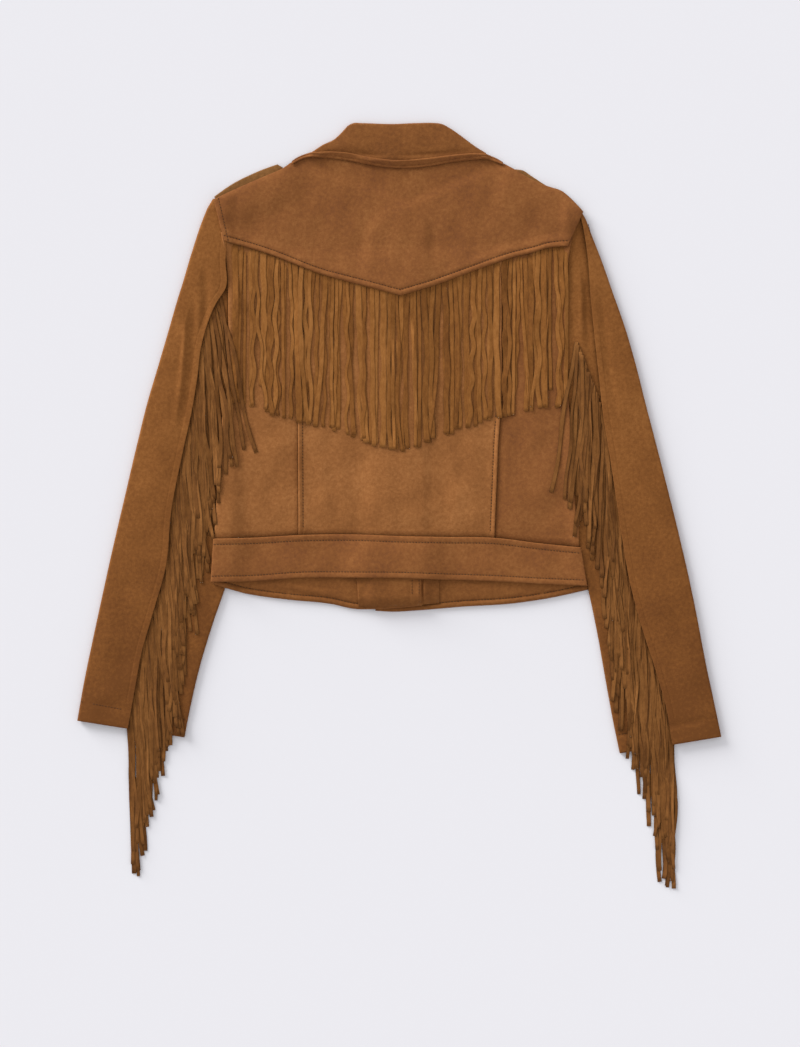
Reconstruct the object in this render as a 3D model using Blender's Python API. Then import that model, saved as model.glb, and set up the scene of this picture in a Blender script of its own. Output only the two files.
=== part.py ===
"""Cropped suede jacket with long fringe, lying flat on its front, as the pieces it is cut and sewn from.

The jacket lies on the plane z = 0 with its back up, its collar towards +Y and its left and right as
seen from above at -X and +X. Each cut piece is one closed wall of cloth. The pieces are laid down in
order, from the lowest to the highest, and each one clears what it lies on by SEAM_GAP.
"""

import bpy
import numpy as np

# Cloth, in metres
SUEDE = 0.0012  # one layer of suede cloth
BAND = 0.0020  # doubled cloth of the waistband, the collar and the shoulder straps
FRINGE_HEADER = 0.0012  # fringe where it is sewn in under the yoke
FRINGE_DEPTH = 0.0028  # strands lying two or three deep
SEAM_GAP = 0.0003  # space left between two pieces

# Heights of the upper faces above the plane, where nothing lifts them higher
BACK_LEVEL = 0.0044
YOKE_LEVEL = 0.0058
SLEEVE_LEVEL = 0.0044
COLLAR_LEVEL = 0.0058
WAISTBAND_LEVEL = 0.0050

# Edges that turn down and rest on what is below
TURN_RADIUS = 0.007
TURN_ANGLES = np.radians([0, 30, 60])
FOLD_DEPTH = 0.005  # how far a folded edge takes to come round
FOLD_ANGLES = np.radians([-90, -60, -30, 0, 30, 60, 90])

# The raster that remembers how high the cloth lies
CELL = 0.001
HALF_REACH = 0.45

# A piece with no edge turned down, lying flat on what is below it
PLAIN_PIECE = {
    "columns": 4,
    "thickness": SUEDE,
    "level": 0.0,
    "puff": 0.0,
    "rest": None,
    "left_turned": 0,
    "right_turned": 0,
    "start_turned": 0,
    "end_turned": 0,
}

SUEDE_BROWN = (0.258, 0.098, 0.030, 1.0)
STRAP_BROWN = (0.205, 0.076, 0.023, 1.0)
FRINGE_BROWN = (0.225, 0.084, 0.022, 1.0)

# Sleeves, a row for each section from the shoulder to the cuff: a point on the outer fold, a point on
# the inner edge, and how much of the width the upper half of the top sleeve takes before the back seam
# Columns: outer x, outer y, inner x, inner y, seam share
SLEEVE_LEFT = np.array(
    [
        (-0.2105, 0.3265, -0.2025, 0.3290, 1.00),
        (-0.2160, 0.3105, -0.1974, 0.3080, 1.00),
        (-0.2285, 0.2750, -0.1905, 0.2680, 1.00),
        (-0.2380, 0.2430, -0.1884, 0.2355, 0.90),
        (-0.2430, 0.2270, -0.1880, 0.2200, 0.74),
        (-0.2540, 0.1890, -0.1875, 0.1700, 0.52),
        (-0.2660, 0.1480, -0.1890, 0.1250, 0.49),
        (-0.2760, 0.1145, -0.1945, 0.0980, 0.52),
        (-0.2874, 0.0688, -0.1870, 0.0480, 0.47),
        (-0.3030, 0.0023, -0.1840, -0.0200, 0.46),
        (-0.3170, -0.0580, -0.1890, -0.0820, 0.48),
        (-0.3275, -0.1060, -0.2049, -0.1308, 0.448),
        (-0.3370, -0.1500, -0.2188, -0.1767, 0.448),
        (-0.3468, -0.1977, -0.2295, -0.2220, 0.459),
        (-0.3539, -0.2381, -0.2363, -0.2567, 0.475),
    ]
)
SLEEVE_RIGHT = np.array(
    [
        (0.2056, 0.3110, 0.1966, 0.3090, 0.60),
        (0.2130, 0.2915, 0.1902, 0.2935, 0.36),
        (0.2219, 0.2685, 0.1852, 0.2640, 0.40),
        (0.2340, 0.2340, 0.1835, 0.2220, 0.495),
        (0.2490, 0.1910, 0.1830, 0.1720, 0.505),
        (0.2615, 0.1470, 0.1840, 0.1260, 0.52),
        (0.2705, 0.1110, 0.1885, 0.0930, 0.56),
        (0.2820, 0.0670, 0.1895, 0.0450, 0.56),
        (0.2910, 0.0320, 0.1930, 0.0080, 0.577),
        (0.3055, -0.0259, 0.2006, -0.0500, 0.548),
        (0.3170, -0.0750, 0.2085, -0.0930, 0.61),
        (0.3260, -0.1180, 0.2170, -0.1380, 0.55),
        (0.3372, -0.1767, 0.2275, -0.1970, 0.467),
        (0.3460, -0.2180, 0.2350, -0.2380, 0.457),
        (0.3539, -0.2556, 0.2425, -0.2742, 0.484),
    ]
)
UNDER_SLEEVE_LEFT_START = 3
UNDERARM_LEFT = 7
UNDERARM_RIGHT = 6

# Side edges of the body below the underarm, from the armpit to the waistband
# Columns: x, y
SIDE_LEFT = np.array([(-0.1965, 0.070), (-0.1985, 0.040), (-0.2010, 0.000), (-0.2037, -0.0384)])
SIDE_RIGHT = np.array([(0.1889, 0.045), (0.1924, 0.008), (0.1977, -0.0330)])

# Fronts, a row from the shoulder down: the point on the neckline or the front edge that each point of
# the armhole and the side runs across to. The left front laps over the right one.
FRONT_EDGE_LEFT = 0.0254
FRONT_EDGE_RIGHT = -0.0262
NECKLINE_LEFT = np.array([(-0.1185, 0.3715), (-0.0800, 0.3450), (-0.0400, 0.3180)])
NECKLINE_RIGHT = np.array([(0.1139, 0.3700), (0.0800, 0.3430), (0.0400, 0.3180)])
SHOULDER_TIP_LEFT = (-0.2032, 0.3335)
SHOULDER_TIP_RIGHT = (0.2003, 0.3200)

# Yoke, a row from left to right: its upper end on the shoulder or the neck, its lower end on the point
# Columns: top x, top y, lower x, lower y, turned down
YOKE = np.array(
    [
        (-0.2032, 0.3345, -0.1919, 0.2885, 1),
        (-0.1800, 0.3455, -0.1720, 0.2832, 1),
        (-0.1500, 0.3590, -0.1384, 0.2726, 1),
        (-0.1185, 0.3735, -0.1084, 0.2610, 1),
        (-0.1026, 0.3806, -0.0800, 0.2510, 0),
        (-0.0762, 0.3795, -0.0600, 0.2460, 0),
        (-0.0412, 0.3742, -0.0350, 0.2385, 0),
        (0.0000, 0.3689, 0.0012, 0.2284, 0),
        (0.0324, 0.3711, 0.0367, 0.2392, 0),
        (0.0577, 0.3753, 0.0600, 0.2475, 0),
        (0.0954, 0.3785, 0.0829, 0.2561, 0),
        (0.1139, 0.3722, 0.1090, 0.2650, 1),
        (0.1450, 0.3595, 0.1292, 0.2718, 1),
        (0.1713, 0.3458, 0.1614, 0.2806, 1),
        (0.1860, 0.3375, 0.1713, 0.2821, 1),
        (0.2000, 0.3205, 0.1845, 0.2828, 1),
    ]
)
PANEL_UNDER_YOKE = 0.010  # how far the back panels run up under the yoke
HEADER_UNDER_YOKE = 0.008  # how far the fringe does

# Shoulder straps, seen only where they stand out past the shoulder: outer edge, inner edge
# Columns: outer x, outer y, inner x, inner y
STRAP_LEFT = np.array(
    [
        (-0.2035, 0.3380, -0.1925, 0.3100),
        (-0.1805, 0.3537, -0.1660, 0.3210),
        (-0.1657, 0.3611, -0.1510, 0.3290),
        (-0.1510, 0.3675, -0.1370, 0.3350),
        (-0.1341, 0.3735, -0.1220, 0.3430),
        (-0.1284, 0.3703, -0.1190, 0.3450),
    ]
)
STRAP_RIGHT = np.array(
    [
        (0.1295, 0.3688, 0.1180, 0.3400),
        (0.1445, 0.3608, 0.1310, 0.3310),
        (0.1580, 0.3524, 0.1440, 0.3220),
        (0.1740, 0.3425, 0.1600, 0.3130),
        (0.1885, 0.3290, 0.1760, 0.3030),
    ]
)

# Princess seams of the back, top and bottom
PRINCESS_LEFT = (-0.1084, -0.1084)
PRINCESS_RIGHT = (0.1095, 0.1030)

# Back waistband, a row from left to right: upper edge, lower edge
# Columns: top x, top y, bottom x, bottom y
WAISTBAND = np.array(
    [
        (-0.2040, -0.0395, -0.2070, -0.0857),
        (-0.1644, -0.0371, -0.1650, -0.0842),
        (-0.1084, -0.0341, -0.1084, -0.0825),
        (-0.0500, -0.0334, -0.0500, -0.0815),
        (0.0058, -0.0339, 0.0100, -0.0827),
        (0.0500, -0.0354, 0.0500, -0.0840),
        (0.1030, -0.0375, 0.1050, -0.0858),
        (0.1548, -0.0432, 0.1570, -0.0880),
        (0.1994, -0.0478, 0.2066, -0.0900),
    ]
)

# Inside face of the front hem, which shows below the waistband: x and its lower edge
# Columns: top x, bottom x, bottom y
HEM_LEFT = np.array(
    [
        (-0.2042, -0.2045, -0.0880),
        (-0.1900, -0.1910, -0.0923),
        (-0.1466, -0.1466, -0.1023),
        (-0.1100, -0.1100, -0.1065),
        (-0.0750, -0.0750, -0.1100),
        (-0.0465, -0.0465, -0.1158),
        (-0.0278, -0.0278, -0.1158),
        (0.0000, 0.0000, -0.1140),
        (0.0254, 0.0254, -0.1106),
    ]
)
HEM_RIGHT = np.array(
    [
        (-0.0262, -0.0262, -0.1175),
        (-0.0080, -0.0080, -0.1185),
        (0.0254, 0.0254, -0.1160),
        (0.0668, 0.0668, -0.1132),
        (0.1295, 0.1295, -0.1089),
        (0.1650, 0.1690, -0.1028),
        (0.1983, 0.2060, -0.0945),
    ]
)
HEM_TOP = -0.0390
# Facing of the left front at the hem, from its free edge to the front edge
# Columns: x, lower y
FACING_HEM = np.array([(-0.0445, -0.1140), (-0.0278, -0.1143), (0.0000, -0.1125), (0.0252, -0.1095)])

# Collar, a row from left to right: the fold along its top, and the crease where it meets the stand
# Columns: x, fold y, crease y
COLLAR = np.array(
    [
        (-0.0850, 0.3945, 0.3878),
        (-0.0707, 0.4013, 0.3875),
        (-0.0619, 0.4098, 0.3871),
        (-0.0530, 0.4180, 0.3862),
        (-0.0420, 0.41875, 0.3818),
        (-0.0058, 0.41875, 0.3788),
        (0.0228, 0.41875, 0.3807),
        (0.0459, 0.4181, 0.3829),
        (0.0547, 0.4131, 0.3840),
        (0.0679, 0.4045, 0.3850),
        (0.0850, 0.3919, 0.3850),
    ]
)
# Columns: x, upper y, lower y
STAND = np.array(
    [
        (-0.1185, 0.3785, 0.3741),
        (-0.1026, 0.3870, 0.3814),
        (-0.0850, 0.3873, 0.3807),
        (-0.0707, 0.3870, 0.3798),
        (-0.0530, 0.3857, 0.3769),
        (-0.0420, 0.3813, 0.3750),
        (0.0000, 0.3785, 0.3696),
        (0.0324, 0.3810, 0.3718),
        (0.0577, 0.3837, 0.3760),
        (0.0850, 0.3845, 0.3784),
        (0.0954, 0.3840, 0.3792),
        (0.1139, 0.3765, 0.3727),
    ]
)

# Fringe of the yoke, a row from left to right: where it is sewn in, and where its tips lie
# Columns: tip x, tip y
YOKE_FRINGE = np.array(
    [
        (-0.1790, 0.1250),
        (-0.1609, 0.1090),
        (-0.1367, 0.0980),
        (-0.1053, 0.0903),
        (-0.0745, 0.0826),
        (-0.0590, 0.0782),
        (-0.0390, 0.0705),
        (-0.0003, 0.0587),
        (0.0305, 0.0683),
        (0.0490, 0.0749),
        (0.0675, 0.0837),
        (0.0861, 0.0881),
        (0.1075, 0.0947),
        (0.1262, 0.0991),
        (0.1449, 0.1040),
        (0.1680, 0.1180),
    ]
)

# Fringe of the sleeves, a row from the shoulder to the last tips: how far it reaches on both sides
# Columns: left x, right x, y
SLEEVE_FRINGE_LEFT = np.array(
    [
        (-0.1955, -0.1870, 0.222),
        (-0.2117, -0.1855, 0.193),
        (-0.2181, -0.1840, 0.160),
        (-0.2240, -0.1810, 0.115),
        (-0.2370, -0.1795, 0.060),
        (-0.2470, -0.1785, 0.018),
        (-0.2510, -0.1920, -0.010),
        (-0.2535, -0.2016, -0.030),
        (-0.2550, -0.2104, -0.060),
        (-0.2560, -0.2225, -0.081),
        (-0.2679, -0.2270, -0.110),
        (-0.2786, -0.2316, -0.145),
        (-0.2850, -0.2335, -0.190),
        (-0.2943, -0.2335, -0.225),
        (-0.2975, -0.2480, -0.248),
        (-0.2975, -0.2511, -0.268),
        (-0.2974, -0.2544, -0.303),
        (-0.3000, -0.2555, -0.334),
        (-0.3010, -0.2764, -0.363),
        (-0.2990, -0.2830, -0.389),
        (-0.2920, -0.2870, -0.41875),
    ]
)
SLEEVE_FRINGE_RIGHT = np.array(
    [
        (0.1970, 0.2060, 0.275),
        (0.1900, 0.2096, 0.220),
        (0.1840, 0.2168, 0.174),
        (0.1795, 0.2227, 0.124),
        (0.1775, 0.2265, 0.080),
        (0.1790, 0.2320, 0.040),
        (0.1830, 0.2380, -0.003),
        (0.2039, 0.2423, -0.020),
        (0.2170, 0.2495, -0.060),
        (0.2260, 0.2513, -0.092),
        (0.2320, 0.2705, -0.138),
        (0.2345, 0.2864, -0.187),
        (0.2566, 0.2940, -0.221),
        (0.2575, 0.2986, -0.243),
        (0.2590, 0.3077, -0.268),
        (0.2601, 0.3088, -0.308),
        (0.2741, 0.3138, -0.350),
        (0.2899, 0.3143, -0.398),
        (0.2960, 0.3080, -0.41875),
    ]
)


def clear_scene():
    for old in list(bpy.data.objects):
        bpy.data.objects.remove(old, do_unlink=True)


def cloth_material(name, colour):
    material = bpy.data.materials.new(name)
    material.use_nodes = True
    shader = material.node_tree.nodes["Principled BSDF"]
    shader.inputs["Base Color"].default_value = colour
    shader.inputs["Roughness"].default_value = 0.9
    shader.inputs["Metallic"].default_value = 0.0
    return material


def blank_heights():
    """A raster of zeros: the bare plane."""
    cells = round(2 * HALF_REACH / CELL)
    return np.zeros((cells, cells))


def cell_index(points):
    """Row and column of the raster for points whose last axis is x, y."""
    column = ((points[..., 0] + HALF_REACH) / CELL).astype(int)
    row = ((points[..., 1] + HALF_REACH) / CELL).astype(int)
    return row, column


def quad_samples(grid, count):
    """Points spread over each quad of a grid, by blending its four corners."""
    share = (np.arange(count) + 0.5) / count
    u, v = np.meshgrid(share, share)
    u, v = u.reshape(-1, 1), v.reshape(-1, 1)
    corners = [grid[:-1, :-1], grid[:-1, 1:], grid[1:, :-1], grid[1:, 1:]]
    weights = [(1 - u) * (1 - v), u * (1 - v), (1 - u) * v, u * v]
    return sum(corner[:, :, None, :] * weight for corner, weight in zip(corners, weights))


def record_heights(heights, grid):
    """Raises the raster to the upper face of a piece."""
    samples = quad_samples(grid, 72)
    row, column = cell_index(samples)
    np.maximum.at(heights, (row, column), samples[..., 2])


def highest_below(heights, plan):
    """For each point of a plan grid, the highest cloth under the quads that meet there."""
    row, column = cell_index(quad_samples(plan, 32))
    under = heights[row, column].max(axis=2)
    padded = np.pad(under, 1, mode="edge")
    return np.maximum.reduce([padded[:-1, :-1], padded[:-1, 1:], padded[1:, :-1], padded[1:, 1:]])


def turned_distances(length, radius, turned_start, turned_end, middle, wall):
    """Distances along a line of this length, close together where an edge turns down, with the share
    of the full height at each. wall is how far the line is pulled in at a turned end."""
    reach = radius - wall
    start = wall + reach * (1 - np.cos(TURN_ANGLES)) if turned_start else np.zeros(0)
    end = length - (wall + reach * (1 - np.cos(TURN_ANGLES)))[::-1] if turned_end else np.zeros(0)
    distances = np.concatenate([start, middle, end])
    height = np.concatenate(
        [np.sin(TURN_ANGLES)[: len(start)], np.ones(len(middle)), np.sin(TURN_ANGLES)[::-1][: len(end)]]
    )
    return distances, height


def spread_rows(left, right, start_turned, end_turned, wall):
    """The two edges of each row of a piece, with rows added where the first or last one turns down."""
    middle_line = (left + right) / 2
    steps = np.linalg.norm(np.diff(middle_line, axis=0), axis=1)
    along = np.concatenate([[0], np.cumsum(steps)])
    keep = np.ones(len(along), bool)
    if start_turned:
        keep &= along > 1.3 * TURN_RADIUS
    if end_turned:
        keep &= along < along[-1] - 1.3 * TURN_RADIUS
    middle = along[keep]
    if start_turned:
        middle = np.concatenate([[TURN_RADIUS], middle])
    if end_turned:
        middle = np.concatenate([middle, [along[-1] - TURN_RADIUS]])
    places, height = turned_distances(along[-1], TURN_RADIUS, start_turned, end_turned, middle, wall)
    left_rows = np.stack([np.interp(places, along, left[:, k]) for k in (0, 1)], axis=1)
    right_rows = np.stack([np.interp(places, along, right[:, k]) for k in (0, 1)], axis=1)
    return left_rows, right_rows, height, np.interp(places, along, np.arange(len(along)))


def plan_grid(piece, wall):
    """Plan positions and height shares of one face of a piece. wall is 0 for the upper face, and the
    cloth's thickness for the lower face, which is pulled in at each turned edge."""
    left, right, row_height, row_number = spread_rows(
        piece["left"], piece["right"], piece["start_turned"], piece["end_turned"], wall
    )
    count = len(piece["left"])
    turned = [
        np.interp(row_number, np.arange(count), np.broadcast_to(piece[side], count))
        for side in ("left_turned", "right_turned")
    ]
    width = np.linalg.norm(right - left, axis=1)
    direction = (right - left) / width[:, None]
    radius = np.minimum(TURN_RADIUS, 0.35 * width)
    columns, heights = [], []
    for side, near in ((turned[0], True), (turned[1], False)):
        if not side.any():
            continue
        for angle in TURN_ANGLES:
            pull = side * np.minimum(wall, 0.6 * radius)
            distance = pull + (radius - pull) * (1 - np.cos(angle))
            columns.append(distance if near else width - distance)
            heights.append(1 - side * (1 - np.sin(angle)))
    near_end = radius if turned[0].any() else 0 * width
    far_end = width - radius if turned[1].any() else width
    for share in np.linspace(0, 1, piece["columns"]):
        columns.append(near_end + share * (far_end - near_end))
        heights.append(np.ones(len(width)))
    columns, heights = np.array(columns).T, np.array(heights).T
    order = np.argsort(columns[len(columns) // 2])
    columns, heights = columns[:, order], heights[:, order]
    plan = left[:, None, :] + columns[:, :, None] * direction[:, None, :]
    return plan, heights * row_height[:, None]


def closed_body(name, upper, lower, material):
    """One closed mesh from two grids of the same shape, joined round their rims."""
    rows, columns = upper.shape[:2]
    count = rows * columns
    number = np.arange(count).reshape(rows, columns)
    quads = np.stack([number[:-1, :-1], number[:-1, 1:], number[1:, 1:], number[1:, :-1]], axis=-1)
    quads = quads.reshape(-1, 4)
    rim = np.concatenate([number[0, :-1], number[:-1, -1], number[-1, :0:-1], number[:0:-1, 0]])
    after = np.roll(rim, -1)
    wall = np.stack([after, rim, rim + count, after + count], axis=-1)
    faces = np.concatenate([quads, quads[:, ::-1] + count, wall])
    points = np.concatenate([upper.reshape(-1, 3), lower.reshape(-1, 3)])
    corners = points[faces]
    spans = np.cross(corners[:, 1], corners[:, 2]) + np.cross(corners[:, 2], corners[:, 3])
    if (corners[:, 0] * spans).sum() < 0:
        faces = faces[:, ::-1]
    mesh = bpy.data.meshes.new(name)
    mesh.from_pydata(points.tolist(), [], faces.tolist())
    mesh.validate()
    mesh.materials.append(material)
    made = bpy.data.objects.new(name, mesh)
    bpy.context.scene.collection.objects.link(made)
    return made


def lay(name, left, right, material, heights, **choices):
    """Lays a piece whose rows run from the left edge to the right edge. It rests on the raster, or at
    the height rest, and rises to level, or by puff, away from the edges that turn down."""
    piece = dict(PLAIN_PIECE, left=left, right=right, **choices)
    thickness, rest = piece["thickness"], piece["rest"]
    upper_plan, upper_share = plan_grid(piece, 0.0)
    lower_plan, lower_share = plan_grid(piece, SUEDE)
    under = highest_below(heights, upper_plan) if rest is None else np.full(upper_share.shape, rest)
    base = np.where(under > 0, under + SEAM_GAP, 0.0)
    depth = np.atleast_1d(thickness)
    across = np.linspace(0, 1, upper_share.shape[1])
    depth = np.interp(across, np.linspace(0, 1, len(depth)), depth)[None, :]
    full = np.maximum(piece["level"], base + depth + piece["puff"])
    upper = np.dstack([upper_plan, base + (full - base) * upper_share])
    lower = np.dstack([lower_plan, base + (full - depth - base) * lower_share])
    record_heights(heights, upper)
    return closed_body(name, upper, lower, material)


def fold_over(name, outer, inner, share, material, heights, thickness, level):
    """Folds a piece over a line: a lower half on the plane from the inner edge out to the outer one,
    round the fold, and an upper half back in over share of the width."""
    across = inner - outer
    width = np.linalg.norm(across, axis=1)
    direction = across / width[:, None]
    reach = np.minimum(FOLD_DEPTH, 0.42 * width * np.minimum(share, 1))
    faces = []
    for wall in (0.0, thickness):
        radius, rise = reach - np.minimum(wall, 0.6 * reach), level / 2 - wall
        distances = [width, (width + reach) / 2]
        rises = [np.full(len(width), -rise)] * 2
        for angle in FOLD_ANGLES:
            distances.append(reach - radius * np.cos(angle))
            rises.append(np.full(len(width), rise * np.sin(angle)))
        for part in (0.5, 1.0):
            distances.append(reach + part * (share * width - reach))
            rises.append(np.full(len(width), rise))
        distances, rises = np.array(distances).T, np.array(rises).T
        plan = outer[:, None, :] + distances[:, :, None] * direction[:, None, :]
        faces.append(np.dstack([plan, level / 2 + rises]))
    record_heights(heights, faces[0])
    return closed_body(name, faces[0], faces[1], material)


def make_sleeve(side, table, start, material, heights):
    outer, inner, share = table[:, 0:2], table[:, 2:4], table[:, 4]
    fold_over(f"sleeve_{side}_top", outer, inner, share, material, heights, SUEDE, SLEEVE_LEVEL)
    across = inner - outer
    seam_gap = (SEAM_GAP / np.linalg.norm(across, axis=1))[:, None]
    seam = outer + (share[:, None] + seam_gap) * across
    lay(
        f"sleeve_{side}_under",
        seam[start:],
        inner[start:],
        material,
        heights,
        columns=3,
        level=SLEEVE_LEVEL,
        rest=SUEDE,
        right_turned=np.interp(np.arange(start, len(table)), [5, 7], [0, 1]),
    )


def body_edge(sleeve, underarm, side, toward):
    """The armhole, a seam's gap from the sleeve, and the side edge below it."""
    armhole = sleeve[1 : underarm + 1, 2:4] + (toward * SEAM_GAP * 2, 0)
    return np.concatenate([armhole, side])


def yoke_edge(x):
    """Height of the yoke's lower edge at x."""
    return np.interp(x, YOKE[:, 2], YOKE[:, 3])


def waist_line(x):
    """Height of the waistband's upper edge at x."""
    return np.interp(x, WAISTBAND[:, 0], WAISTBAND[:, 1])


def make_front(side, edge, tip, neckline, front_edge, material, heights):
    outline = np.concatenate([[tip], edge])
    count = len(outline) - len(neckline)
    straight = np.stack([np.full(count, front_edge), outline[len(neckline) :, 1]], axis=1)
    straight[:3, 1] += (0.060, 0.040, 0.020)
    outline[-1, 1] = HEM_TOP + SEAM_GAP
    straight[-1, 1] = HEM_TOP + SEAM_GAP
    across = np.concatenate([neckline, straight])
    lay(f"front_{side}", outline, across, material, heights, columns=6)


def make_hem(side, table, material, heights):
    top = np.stack([table[:, 0], np.full(len(table), HEM_TOP)], axis=1)
    lay(f"front_hem_band_{side}", top, table[:, 1:3], material, heights, columns=4)


def make_facing(material, heights):
    top = np.stack([FACING_HEM[:, 0], np.full(len(FACING_HEM), HEM_TOP - SEAM_GAP)], axis=1)
    lay("front_facing_left", top, FACING_HEM, material, heights, columns=4)


def make_back_side(side, edge, seam, material, heights):
    """Side panel of the back, from the armhole and side edge across to the princess seam."""
    top = edge[0].copy()
    top[1] = yoke_edge(top[0]) + PANEL_UNDER_YOKE
    outline = np.concatenate([[top], edge[edge[:, 1] < top[1] - 0.004]])
    outline[-1, 1] = waist_line(outline[-1, 0]) - SEAM_GAP * 2
    toward = np.sign(outline[0, 0])
    rows = outline[:, 1].copy()
    rows[0] = yoke_edge(seam[0]) + PANEL_UNDER_YOKE
    rows[1] = rows[0] - 0.35 * (rows[0] - outline[2, 1])
    rows[-1] = waist_line(seam[1]) - SEAM_GAP * 2
    x = np.interp(rows, [rows[-1], rows[0]], [seam[1], seam[0]]) + toward * SEAM_GAP
    turned = np.interp(outline[:, 1], [0.075, 0.100], [1, 0])
    across = np.stack([x, rows], axis=1)
    lay(
        f"back_side_{side}",
        outline,
        across,
        material,
        heights,
        columns=4,
        level=BACK_LEVEL,
        puff=0.0008,
        left_turned=turned,
    )


def make_back_centre(material, heights):
    inner = WAISTBAND[(WAISTBAND[:, 0] > PRINCESS_LEFT[1]) & (WAISTBAND[:, 0] < PRINCESS_RIGHT[1])]
    bottom_x = np.concatenate([[PRINCESS_LEFT[1]], inner[:, 0], [0.075, PRINCESS_RIGHT[1]]])
    top_x = np.concatenate([[PRINCESS_LEFT[0]], [-0.050, 0.0012, 0.050], [0.080, PRINCESS_RIGHT[0]]])
    top = np.stack([top_x, yoke_edge(top_x) + PANEL_UNDER_YOKE], axis=1)
    bottom = np.stack([bottom_x, waist_line(bottom_x) - SEAM_GAP * 2], axis=1)
    lay("back_centre", top, bottom, material, heights, columns=8, level=BACK_LEVEL, puff=0.0008)


def main():
    clear_scene()
    suede = cloth_material("suede_cloth", SUEDE_BROWN)
    strap = cloth_material("suede_strap", STRAP_BROWN)
    fringe = cloth_material("suede_fringe", FRINGE_BROWN)
    heights = blank_heights()

    lay("epaulette_left", STRAP_LEFT[:, :2], STRAP_LEFT[:, 2:], strap, heights, columns=3, thickness=BAND)
    lay("epaulette_right", STRAP_RIGHT[:, :2], STRAP_RIGHT[:, 2:], strap, heights, columns=3, thickness=BAND)
    make_sleeve("left", SLEEVE_LEFT, UNDER_SLEEVE_LEFT_START, suede, heights)

    edge_left = body_edge(SLEEVE_LEFT, UNDERARM_LEFT, SIDE_LEFT, 1)
    edge_right = body_edge(SLEEVE_RIGHT, UNDERARM_RIGHT, SIDE_RIGHT, -1)
    make_front("right", edge_right, SHOULDER_TIP_RIGHT, NECKLINE_RIGHT, FRONT_EDGE_RIGHT, suede, heights)
    make_hem("right", HEM_RIGHT, suede, heights)
    make_front("left", edge_left, SHOULDER_TIP_LEFT, NECKLINE_LEFT, FRONT_EDGE_LEFT, suede, heights)
    make_hem("left", HEM_LEFT, suede, heights)
    make_facing(suede, heights)

    make_sleeve("right", SLEEVE_RIGHT, 0, suede, heights)

    make_back_centre(suede, heights)
    make_back_side("left", edge_left, PRINCESS_LEFT, suede, heights)
    make_back_side("right", edge_right, PRINCESS_RIGHT, suede, heights)
    lay(
        "back_waistband",
        WAISTBAND[:, :2],
        WAISTBAND[:, 2:],
        suede,
        heights,
        columns=3,
        thickness=BAND,
        level=WAISTBAND_LEVEL,
        puff=0.0006,
        right_turned=1,
        start_turned=1,
        end_turned=1,
    )

    header = np.stack([YOKE[:, 2] * 0.985, yoke_edge(YOKE[:, 2] * 0.985) + HEADER_UNDER_YOKE], axis=1)
    lay(
        "back_fringe",
        header,
        YOKE_FRINGE,
        fringe,
        heights,
        columns=8,
        thickness=[FRINGE_HEADER] + [FRINGE_DEPTH] * 7,
    )
    lay(
        "back_yoke",
        YOKE[:, :2],
        YOKE[:, 2:4],
        suede,
        heights,
        columns=8,
        level=YOKE_LEVEL,
        puff=0.0003,
        left_turned=YOKE[:, 4],
    )
    x, fold, crease = COLLAR.T
    outer = np.stack([x, fold], axis=1)
    inner = np.stack([x, crease], axis=1)
    fold_over("collar_leaf", outer, inner, np.ones(len(x)), suede, heights, BAND, COLLAR_LEVEL)
    x, upper, lower = STAND.T
    lay(
        "collar_stand",
        np.stack([x, upper], axis=1),
        np.stack([x, lower], axis=1),
        suede,
        heights,
        columns=3,
        thickness=BAND,
        level=COLLAR_LEVEL,
    )
    for side, table in (("left", SLEEVE_FRINGE_LEFT), ("right", SLEEVE_FRINGE_RIGHT)):
        lay(
            f"sleeve_{side}_fringe",
            table[:, [0, 2]],
            table[:, [1, 2]],
            fringe,
            heights,
            columns=5,
            thickness=FRINGE_DEPTH,
        )


main()
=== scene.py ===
import bpy
import numpy as np
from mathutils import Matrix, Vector


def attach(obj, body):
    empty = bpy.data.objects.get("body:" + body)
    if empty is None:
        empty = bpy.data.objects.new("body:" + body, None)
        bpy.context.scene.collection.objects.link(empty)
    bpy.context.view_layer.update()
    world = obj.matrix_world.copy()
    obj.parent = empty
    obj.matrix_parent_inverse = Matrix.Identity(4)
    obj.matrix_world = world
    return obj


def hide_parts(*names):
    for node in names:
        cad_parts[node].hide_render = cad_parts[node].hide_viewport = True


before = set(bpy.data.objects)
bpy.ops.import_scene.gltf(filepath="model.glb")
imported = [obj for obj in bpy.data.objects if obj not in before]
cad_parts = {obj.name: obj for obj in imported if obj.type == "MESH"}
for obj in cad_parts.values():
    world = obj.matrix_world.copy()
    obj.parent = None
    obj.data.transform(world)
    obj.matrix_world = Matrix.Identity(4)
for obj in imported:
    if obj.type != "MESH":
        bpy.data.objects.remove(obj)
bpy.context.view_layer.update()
print("frame loaded")

mm = 0.001  # every table of places is in metres
suede = 1.2 * mm  # one layer of suede cloth
band = 2.0 * mm  # doubled cloth
gap = 0.3 * mm  # left between a piece and what it lies on

# The pile: a raster of the height of the cloth laid so far, over a square about the origin
cell = 1.0 * mm
reach = 0.45
pileCells = round(2 * reach / cell)
pile = np.zeros((pileCells, pileCells))

# Distances from an edge at which a sheet has its closest rows of points
nearEdge = mm * np.array([0, 0.35, 0.8, 1.5, 2.5, 3.7, 5.0, 5.8, 6.4, 7.0, 7.9, 9.4, 12.0])

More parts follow.
